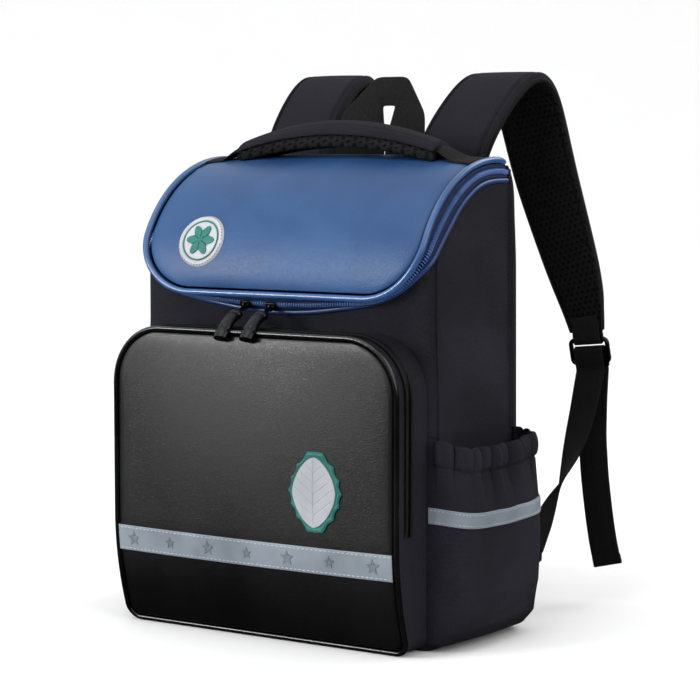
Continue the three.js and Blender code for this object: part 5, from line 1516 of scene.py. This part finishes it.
handle_rows = edged(-PAD_SPAN, PAD_SPAN, 90, 3.0, 6)
grids = skins(handle_top, handle_rows, edged(-1, 1, 26, 0.22, 7), -5.5, 1.2, -2.4)
pad = piece("handle_cushion", grids, OXFORD, "oxford_cloth", ["handle_pad"])
grids = skins(handle_point, handle_rows, edged(-0.99, 0.99, 26, 0.3, 7), -17.5, -5.4, -9.0)
piece("handle_mesh", grids, COARSE_MESH, "spacer_mesh", ["handle_lining"])
x = np.linspace(-PAD_SPAN + 3, PAD_SPAN - 3, 300)
seams = [seam(*line_on(handle_top, x, v + 0 * x, 0.45), 3.4) for v in (-HANDLE_SEAM, HANDLE_SEAM)]
stitches("handle_stitches", seams, (2.4, 0.6, 0.5), THREAD, "oxford_cloth")

# %% The handle's webbing ends
TAB_END, TAB_EASE, TAB_BOX = 135.0, 21.0, (118.0, 132.0)


def tab_point(x, v, lift):
    """Webbing that eases from the middle of the handle's end down to the lid."""
    y = HANDLE_Y + v * WEBBING_HALF
    s = LID_LENGTH * (1 - np.arcsin(np.clip((LID_BACK_Y - y) / LID_REACH, 0, 1)) / QUARTER)
    on_lid = hood(x, s, 0.0)[..., 2] + GAP
    middle = handle_point(np.full(np.shape(x), PAD_SPAN), v, -4.5)[..., 2]
    narrow = 1 - 0.25 * smooth((PAD_SPAN + 8 - x) / 8)
    z = mix(middle, on_lid, smooth((x - PAD_SPAN) / TAB_EASE)) + lift
    return points(x, HANDLE_Y + v * WEBBING_HALF * narrow, z)


def crossed_box(surface, u, v, lift, spacing=2.6):
    """Stitches round a rectangle on a surface and along its two diagonals."""
    t = np.linspace(0, 1, 60)
    a, b, c, d = (u[0], v[0]), (u[1], v[0]), (u[1], v[1]), (u[0], v[1])
    return join_seams([
        seam(*line_on(surface, mix(p[0], q[0], t), mix(p[1], q[1], t), lift), spacing)
        for p, q in ((a, b), (b, c), (c, d), (d, a), (a, c), (b, d))
    ])


grids = skins(tab_point, edged(PAD_SPAN - 2, TAB_END, 40, 0.6), edged(-1, 1, 24, 0.04), 0.0, WEBBING)
cross = crossed_box(tab_point, TAB_BOX, (-0.82, 0.82), WEBBING)
for name, side in (("left", -1), ("right", 1)):
    piece(f"handle_end_{name}", mirrored(grids, side), WEB, "black_webbing", [f"handle_tab_{name}"])
    stitches(f"handle_cross_{name}", [cross], (2.0, 0.7, 0.5), THREAD, "black_webbing", side)

# %% [markdown]
# ## The hang loop
# Behind the handle stands a loop of webbing by which the bag hangs from a hook. Its two
# legs are sewn on the yoke and meet below a narrow eye, and rows of stitches hold its folded
# top together. A ribbon could be folded along a curve. A band between an outer and an inner
# line of points was chosen, because both outlines can be read off the photograph.

# %% The hang loop
TILT, LOOP_STEPS, LOOP_THICK = np.radians(9.5), 150, 2.2
loop_up = np.array([0, np.sin(TILT), np.cos(TILT)])
loop_out = np.array([0, -np.cos(TILT), np.sin(TILT)])
loop_foot = np.array([0, YOKE_BACK + GAP + 2.6, 350.0])
# Columns: across, and up from the loop's foot.
outer_edge = [(-50, 0), (-43, 81.5), (-9, 113.5), (23, 113.5), (43, 81.5), (50, 0)]
inner_edge = [
    (-22, 0), (4, 10), (5.3, 30), (5, 60), (-0.5, 88), (13.5, 88), (6, 60), (5.7, 30), (6, 10), (22, 0),
]
outer_line, inner_line = eased(outer_edge, LOOP_STEPS, 8), eased(inner_edge, LOOP_STEPS, 4)


def loop_point(i, v, lift):
    """Between the loop's two edges, v from 0 inside to 1 outside, a little cupped."""
    k = np.clip(i, 0, LOOP_STEPS - 1).astype(int)
    flat = inner_line[k] * (1 - v)[..., None] + outer_line[k] * v[..., None]
    cup = lift + 1.2 * np.sin(np.pi * v) - 0.6 + 1.5 * ridge(k, LOOP_STEPS / 2, 26)
    upright = flat[..., :1] * [1.0, 0, 0] + flat[..., 1:] * loop_up
    return loop_foot + upright + cup[..., None] * loop_out


piece("loop_webbing", skins(loop_point, row_places(LOOP_STEPS), edged(0, 1, 30, 0.03), 0.0, LOOP_THICK),
      WEB, "black_webbing", ["hang_loop"])
v = np.linspace(0.1, 0.9, 60)
seams = [seam(*line_on(loop_point, k + 0 * v, v, LOOP_THICK + 0.05), 2.4) for k in (52, 58, 64, 86, 92, 98)]
stitches("loop_stitches", seams, (1.9, 0.6, 0.5), THREAD, "black_webbing")

# %% [markdown]
# ## Shoulder straps
# A strap is two layers of cloth with foam between them: oxford cloth outside and open mesh
# inside, bound along both edges with a dark tape. It rises from the yoke, bends over and
# hangs down behind the bag. A long cushion could be bent along a curve by a modifier. Here
# its line comes from a short table, and a domed section that is pressed at its two seams is
# carried along it, so that cloth, mesh, binding and stitches share one shape.

# %% The strap's line
# Columns: how far back, how high, how far out and how wide, as shares.
RISING = np.array([
    [0, 0, 0, 1], [0, 0.2, 0, 1], [0.03, 0.42, 0, 1], [0.12, 0.61, 0.01, 1], [0.27, 0.79, 0.03, 1],
    [0.42, 0.92, 0.05, 1], [0.56, 0.985, 0.07, 1], [0.68, 1, 0.09, 0.96],
])
FALLING = np.array([
    [0.79, 0.965, 0.12, 0.92], [0.86, 0.9, 0.16, 0.88], [0.9, 0.8, 0.22, 0.84],
    [0.92, 0.62, 0.38, 0.78], [0.935, 0.42, 0.61, 0.65], [0.955, 0.22, 0.84, 0.48],
    [0.98, 0.08, 0.97, 0.2], [1, 0, 1, 0],
])
STRAP_PAD, STRAP_LINING, STRAP_SEAM = 7.8, 4.4, 0.84
STRAP_FOOT_Y, STRAP_REACH = YOKE_BACK + 2 * GAP + 6.6, 113
STRAP_X, STRAP_SPREAD, STRAP_TOP = 84, 62, 462.0
STRAP_WIDE, TIP_WIDE, TIP_THIN, TIP_RUN, STRAP_STEPS = 68.0, 32.0, 0.36, 34, 230
SWAY = {"left": 6.0, "right": -17.0}
both, rises = np.concatenate([RISING, FALLING]), np.arange(len(RISING) + len(FALLING)) < len(RISING)
strap_low = np.where(rises, 345.0, 240.0)
strap_x, strap_y = STRAP_X + STRAP_SPREAD * both[:, 2], STRAP_FOOT_Y + STRAP_REACH * both[:, 0]
coarse = points(strap_x, strap_y, mix(strap_low, STRAP_TOP, both[:, 1]))
print("strap:", round(float(np.linalg.norm(np.diff(coarse, axis=0), axis=-1).sum())), "mm long")


def hang_strap(sway):
    """The strap's smooth line, half widths, directions and thinness. Its foot stands aside
    by sway, less and less up to the crest."""
    lean = np.where(rises, 1 - smooth(both[:, 1] / 1.05), 0) * sway
    table = np.concatenate([coarse + points(lean, 0, 0), both[:, 3:]], axis=1)
    line, width = np.split(eased(table, STRAP_STEPS, 110), [3], axis=1)
    left_over = np.linalg.norm(line - line[-1], axis=-1)
    _, across, out = frames(line, (1, 0, 0))
    thin = mix(TIP_THIN, 1, smooth(left_over / TIP_RUN))
    return line, mix(TIP_WIDE, STRAP_WIDE, width[:, 0]) / 2, across, out, thin


# %% The straps
BINDING_IN, BINDING_SIZE = 0.6, (2.5, 1.5)


def strap_surface(i, share, lift):
    """Across the strap's line; the pad is domed, thin at its tip and pressed at its seams."""
    k = np.clip(i, 0, STRAP_STEPS - 1).astype(int)
    pressed = 1 - 0.34 * ridge(np.abs(share), STRAP_SEAM, 0.035) - 0.1 * share**2
    puff = 1 + 0.035 * np.sin(k / 9) * (1 - share**2)
    rise = lift * strap_thin[k] * pressed * puff
    side = share * strap_half[k]
    return strap_line[k] + strap_across[k] * side[..., None] + strap_out[k] * rise[..., None]


def binding(edge):
    """The tape along one edge of the strap: a flat cord."""
    line = strap_line + strap_across * (edge * (strap_half - BINDING_IN))[:, None]
    return cord_grid(line, strap_out, *BINDING_SIZE, sides=12)


strap_rows = row_places(STRAP_STEPS, 0.7)
i = np.linspace(3, STRAP_STEPS - 4, STRAP_STEPS * 2)
for name, side in (("left", -1), ("right", 1)):
    strap_line, strap_half, strap_across, strap_out, strap_thin = hang_strap(SWAY[name])
    grids = skins(strap_surface, strap_rows, edged(-1, 1, 44, 0.1, 7), 0.1, STRAP_PAD, 0.8)
    pad = piece(f"strap_cushion_{name}", mirrored(grids, side), OXFORD, "oxford_cloth",
                [f"strap_{name}"])
    grids = skins(strap_surface, strap_rows, edged(-1, 1, 40, 0.1, 6), -STRAP_LINING, -0.1, -0.8)
    piece(f"strap_mesh_{name}", mirrored(grids, side), MESH, "spacer_mesh",
          [f"strap_lining_{name}"])
    piece(f"strap_binding_{name}", mirrored([binding(-1), binding(1)], side), WEB, "black_webbing")
    seams = []
    for share in (-STRAP_SEAM, STRAP_SEAM):
        line = strap_surface(i, share + 0 * i, STRAP_PAD + 0.1 + 0 * i)
        seams.append(seam(eased(line, len(i), 20), strap_out[i.astype(int)], 3.6))
    stitches(f"strap_stitches_{name}", seams, (2.5, 0.6, 0.5), THREAD, "oxford_cloth", side)

# %% [markdown]
# ## Buckle and webbing
# Each strap ends in a folded webbing that holds a ladder buckle. A lower webbing comes up
# from the bag's foot, turns round the buckle's middle bar and hangs free with a folded hem.
# A cloth strip could be dropped over the buckle in a simulation. A line of points with half
# circles round the bars was chosen, because webbing is stiff along its length and keeps
# just such a path.

# %% The buckle
tip_at, tip_along = coarse[-1], unit(coarse[-1] - coarse[-2])
tip_across = unit(np.array([1.0, 0, 0]) - tip_along * tip_along[0])
tip_out = np.cross(tip_across, tip_along)


def tip_point(down, out, aside=0.0):
    """A place by the strap's tip: down its line, out of it and to the side."""
    down, out, aside = np.broadcast_arrays(*(np.asarray(a, float) for a in (down, out, aside)))
    return tip_at + down[..., None] * tip_along + out[..., None] * tip_out + aside[..., None] * tip_across


BAR_TOP, BAR_MIDDLE, BAR_LOW, BUCKLE_END = 7.0, 17.4, 27.8, 29.8
BAR_SIZE, BUCKLE_HALF, BUCKLE_CORNER, LIP_BOW = 4, 18.0, 4.0, 0.004
FOLD_R = np.hypot(BAR_SIZE, BAR_SIZE) / 2 + GAP + WEBBING / 2


def rounded_loop(half, low, high, r):
    """A rectangle with quarter circles for corners, once round: across and down."""
    across = np.array([half - r, r - half, r - half, half - r])[:, None]
    down = np.array([high - r, high - r, low + r, low + r])[:, None]
    turn = np.arange(4)[:, None] * QUARTER + np.linspace(0, QUARTER, 7)
    ring = np.stack([across + r * np.cos(turn), down + r * np.sin(turn)], -1).reshape(-1, 2)
    return resampled(np.concatenate([ring, ring[:1]]), 121)[:-1]


def buckle():
    """A rounded frame, a middle bar and a bowed lip that eases the webbing."""
    a, b = rounded_loop(BUCKLE_HALF, BAR_TOP, BAR_LOW, BUCKLE_CORNER).T
    t = np.linspace(-BUCKLE_HALF, BUCKLE_HALF, 40)
    lip = tip_point(BAR_LOW + 3.0 - LIP_BOW * t**2, 1.6 + 0 * t, t * 0.92)
    return [
        cord_grid(tip_point(b, 0 * b, a), tip_out, 2.3, 1.9, sides=12, loop=True),
        cord_grid(tip_point(BAR_MIDDLE + 0 * t, 0 * t, t), tip_out, 2.1, 1.7, sides=12),
        cord_grid(lip, tip_out, 1.3, 2.2, sides=12),
    ]


# %% Webbing along a line
def banded(line, across_hint, half, low, high, steps=20):
    """Webbing along a line: its half width wavers a little from row to row, as a woven
    edge does."""
    _, across, out = frames(line, across_hint)
    n = len(line)
    ragged = half + 0.22 * np.cos(np.pi * np.arange(n))

    def surface(i, share, lift):
        k = np.clip(i, 0, n - 1).astype(int)
        return line[k] + across[k] * (share * ragged[k])[..., None] + out[k] * lift[..., None]

    return skins(surface, row_places(n), edged(-1, 1, steps, 0.03), low, high), surface


def fold_tab():
    """Down the strap's outside, round the top bar in a half circle and up its inside."""
    k, clear = np.arange(STRAP_STEPS - 9, STRAP_STEPS - 1), 0.7
    front = strap_line[k] + strap_out[k] * ((STRAP_PAD + 0.2) * strap_thin[k] + clear)[:, None]
    behind = strap_line[k] - strap_out[k] * ((STRAP_LINING + 0.2) * strap_thin[k] + clear)[:, None]
    turn = np.linspace(0, 2 * QUARTER, 17)
    bend = tip_point(BAR_TOP + FOLD_R * np.sin(turn), FOLD_R * np.cos(turn))
    return resampled(np.concatenate([front, bend, behind[::-1]]), 90)


tab_line, TAB_HALF = eased(fold_tab(), 90, 3), 13.2
tab_grids, _ = banded(tab_line, tip_across, TAB_HALF, -WEBBING / 2, WEBBING / 2)
print("buckle tab:", len(tab_line), "rows of webbing")

# %% The lower webbing and its free end
ANCHOR_LENGTH, ANCHOR_WIDE, ANCHOR_NARROW, FLOOR_CLEAR = 50.0, 26, 15, 33.0
anchor_root = np.array([PAD_HALF + 2 * GAP + 1.5, SIDE_REACH + GAP, 62.0])
start = anchor_root + [2.65, ANCHOR_LENGTH - WEBBING_HALF, 0]
buckle_back, buckle_front = tip_point(BUCKLE_END + 4, -FOLD_R), tip_point(BUCKLE_END + 4, FOLD_R)
run = np.linalg.norm(buckle_back - start)
flat_across = unit(np.cross([1.0, 0, 0], buckle_back - start))
# Columns: share of the run, bow away from the bag, share of the quarter turn.
LOWER = np.array([
    [0, 0, 0], [0.15, 0.01, 0], [0.3, 0.07, 0.35], [0.45, 0.085, 0.6], [0.6, 0.08, 0.8],
    [0.78, 0.055, 0.93], [0.9, 0.025, 0.98], [1, 0, 1],
])
# Columns: how far down, out and back, as shares of the fall.
FREE = np.array([
    [0, 0, 0], [0.15, -0.01, 0.005], [0.35, -0.015, 0.01], [0.55, 0, 0.01],
    [0.75, 0.03, 0.005], [0.88, 0.055, 0], [1, 0.085, 0],
])


def webbing_line():
    """The lower run, a half circle round the buckle's middle bar and the free end. The
    direction across turns from flat by the anchor to level at the buckle."""
    lower = start + (buckle_back - start) * LOWER[:, :1] + [0, 1, 0] * (run * LOWER[:, 1:2])
    # The turn is eased along with the places, and counted in hundredths for even steps.
    lower = eased(np.concatenate([lower, LOWER[:, 2:] * 100], axis=1), 210, 120)
    hint_low = mix(flat_across, tip_across, lower[:, 3:] / 100)
    turn = np.linspace(0, 2 * QUARTER, 25)
    bend = tip_point(BAR_MIDDLE - FOLD_R * np.sin(turn), -FOLD_R * np.cos(turn))
    fall = buckle_front[2] - FLOOR_CLEAR
    free = eased(buckle_front + fall * FREE[:, [1, 2, 0]] * [1, 1, -1], 190, 90)
    between = np.linspace(0, 1, 12)[1:-1, None]
    line = np.concatenate([
        lower[:, :3], mix(lower[-1, :3], bend[0], between), bend, mix(bend[-1], free[0], between), free,
    ])
    hint = np.concatenate([hint_low, np.broadcast_to(tip_across, (len(line) - len(hint_low), 3))])
    even = resampled(np.concatenate([line, hint * 1e-3], axis=1), 520)
    return even[:, :3], unit(even[:, 3:])


web_line, web_hint = webbing_line()
web_grids, _ = banded(web_line, web_hint, WEBBING_HALF, -WEBBING / 2, WEBBING / 2)
hem_line, hem_hint, HEM_THICK = web_line[-13:] + [0, 0, -0.3], web_hint[-13:], 1.4
hem_grids, hem_surface = banded(hem_line, hem_hint, WEBBING_HALF, -WEBBING / 2, WEBBING / 2 + HEM_THICK)
v = np.linspace(-0.88, 0.88, 60)
hem_rows = [seam(*line_on(hem_surface, k + 0 * v, v, 2.2), 2.2) for k in (3, 5)]


# %% The anchor tabs, and all of it on both sides
def anchor_point(t, share, lift):
    """A cloth tab that narrows from the bag to the webbing, full in its middle."""
    full = lift * (1 + 0.25 * (1 - share**2))
    down = share * mix(ANCHOR_WIDE, ANCHOR_NARROW, t)
    return points(anchor_root[0] + full, anchor_root[1] + ANCHOR_LENGTH * t, anchor_root[2] + down)


anchor_grids = skins(anchor_point, edged(0, 1, 30, 0.03), edged(-1, 1, 30, 0.06), -1.5, 1.5)
anchor_seams = [crossed_box(anchor_point, (0.5, 0.94), (-0.75, 0.75), 1.9, 2.8)]
t = np.linspace(0.03, 0.97, 60)
anchor_seams += [seam(*line_on(anchor_point, t, v + 0 * t, 1.6), 2.8) for v in (-0.9, 0.9)]
for name, side in (("left", -1), ("right", 1)):
    piece(f"ladder_buckle_{name}", mirrored(buckle(), side), PLASTIC, "black_plastic",
          [f"buckle_{name}"], SHARP_MOULDED)
    piece(f"buckle_fold_{name}", mirrored(tab_grids, side), WEB, "black_webbing",
          [f"buckle_tab_{name}"])
    piece(f"strap_webbing_{name}", mirrored(web_grids + hem_grids, side), WEB, "black_webbing",
          [f"webbing_{name}"])
    piece(f"anchor_tab_{name}", mirrored(anchor_grids, side), OXFORD, "oxford_cloth",
          [f"anchor_{name}"])
    stitches(f"foot_stitches_{name}", hem_rows + anchor_seams, (1.9, 0.7, 0.5), THREAD,
             "black_webbing", side)
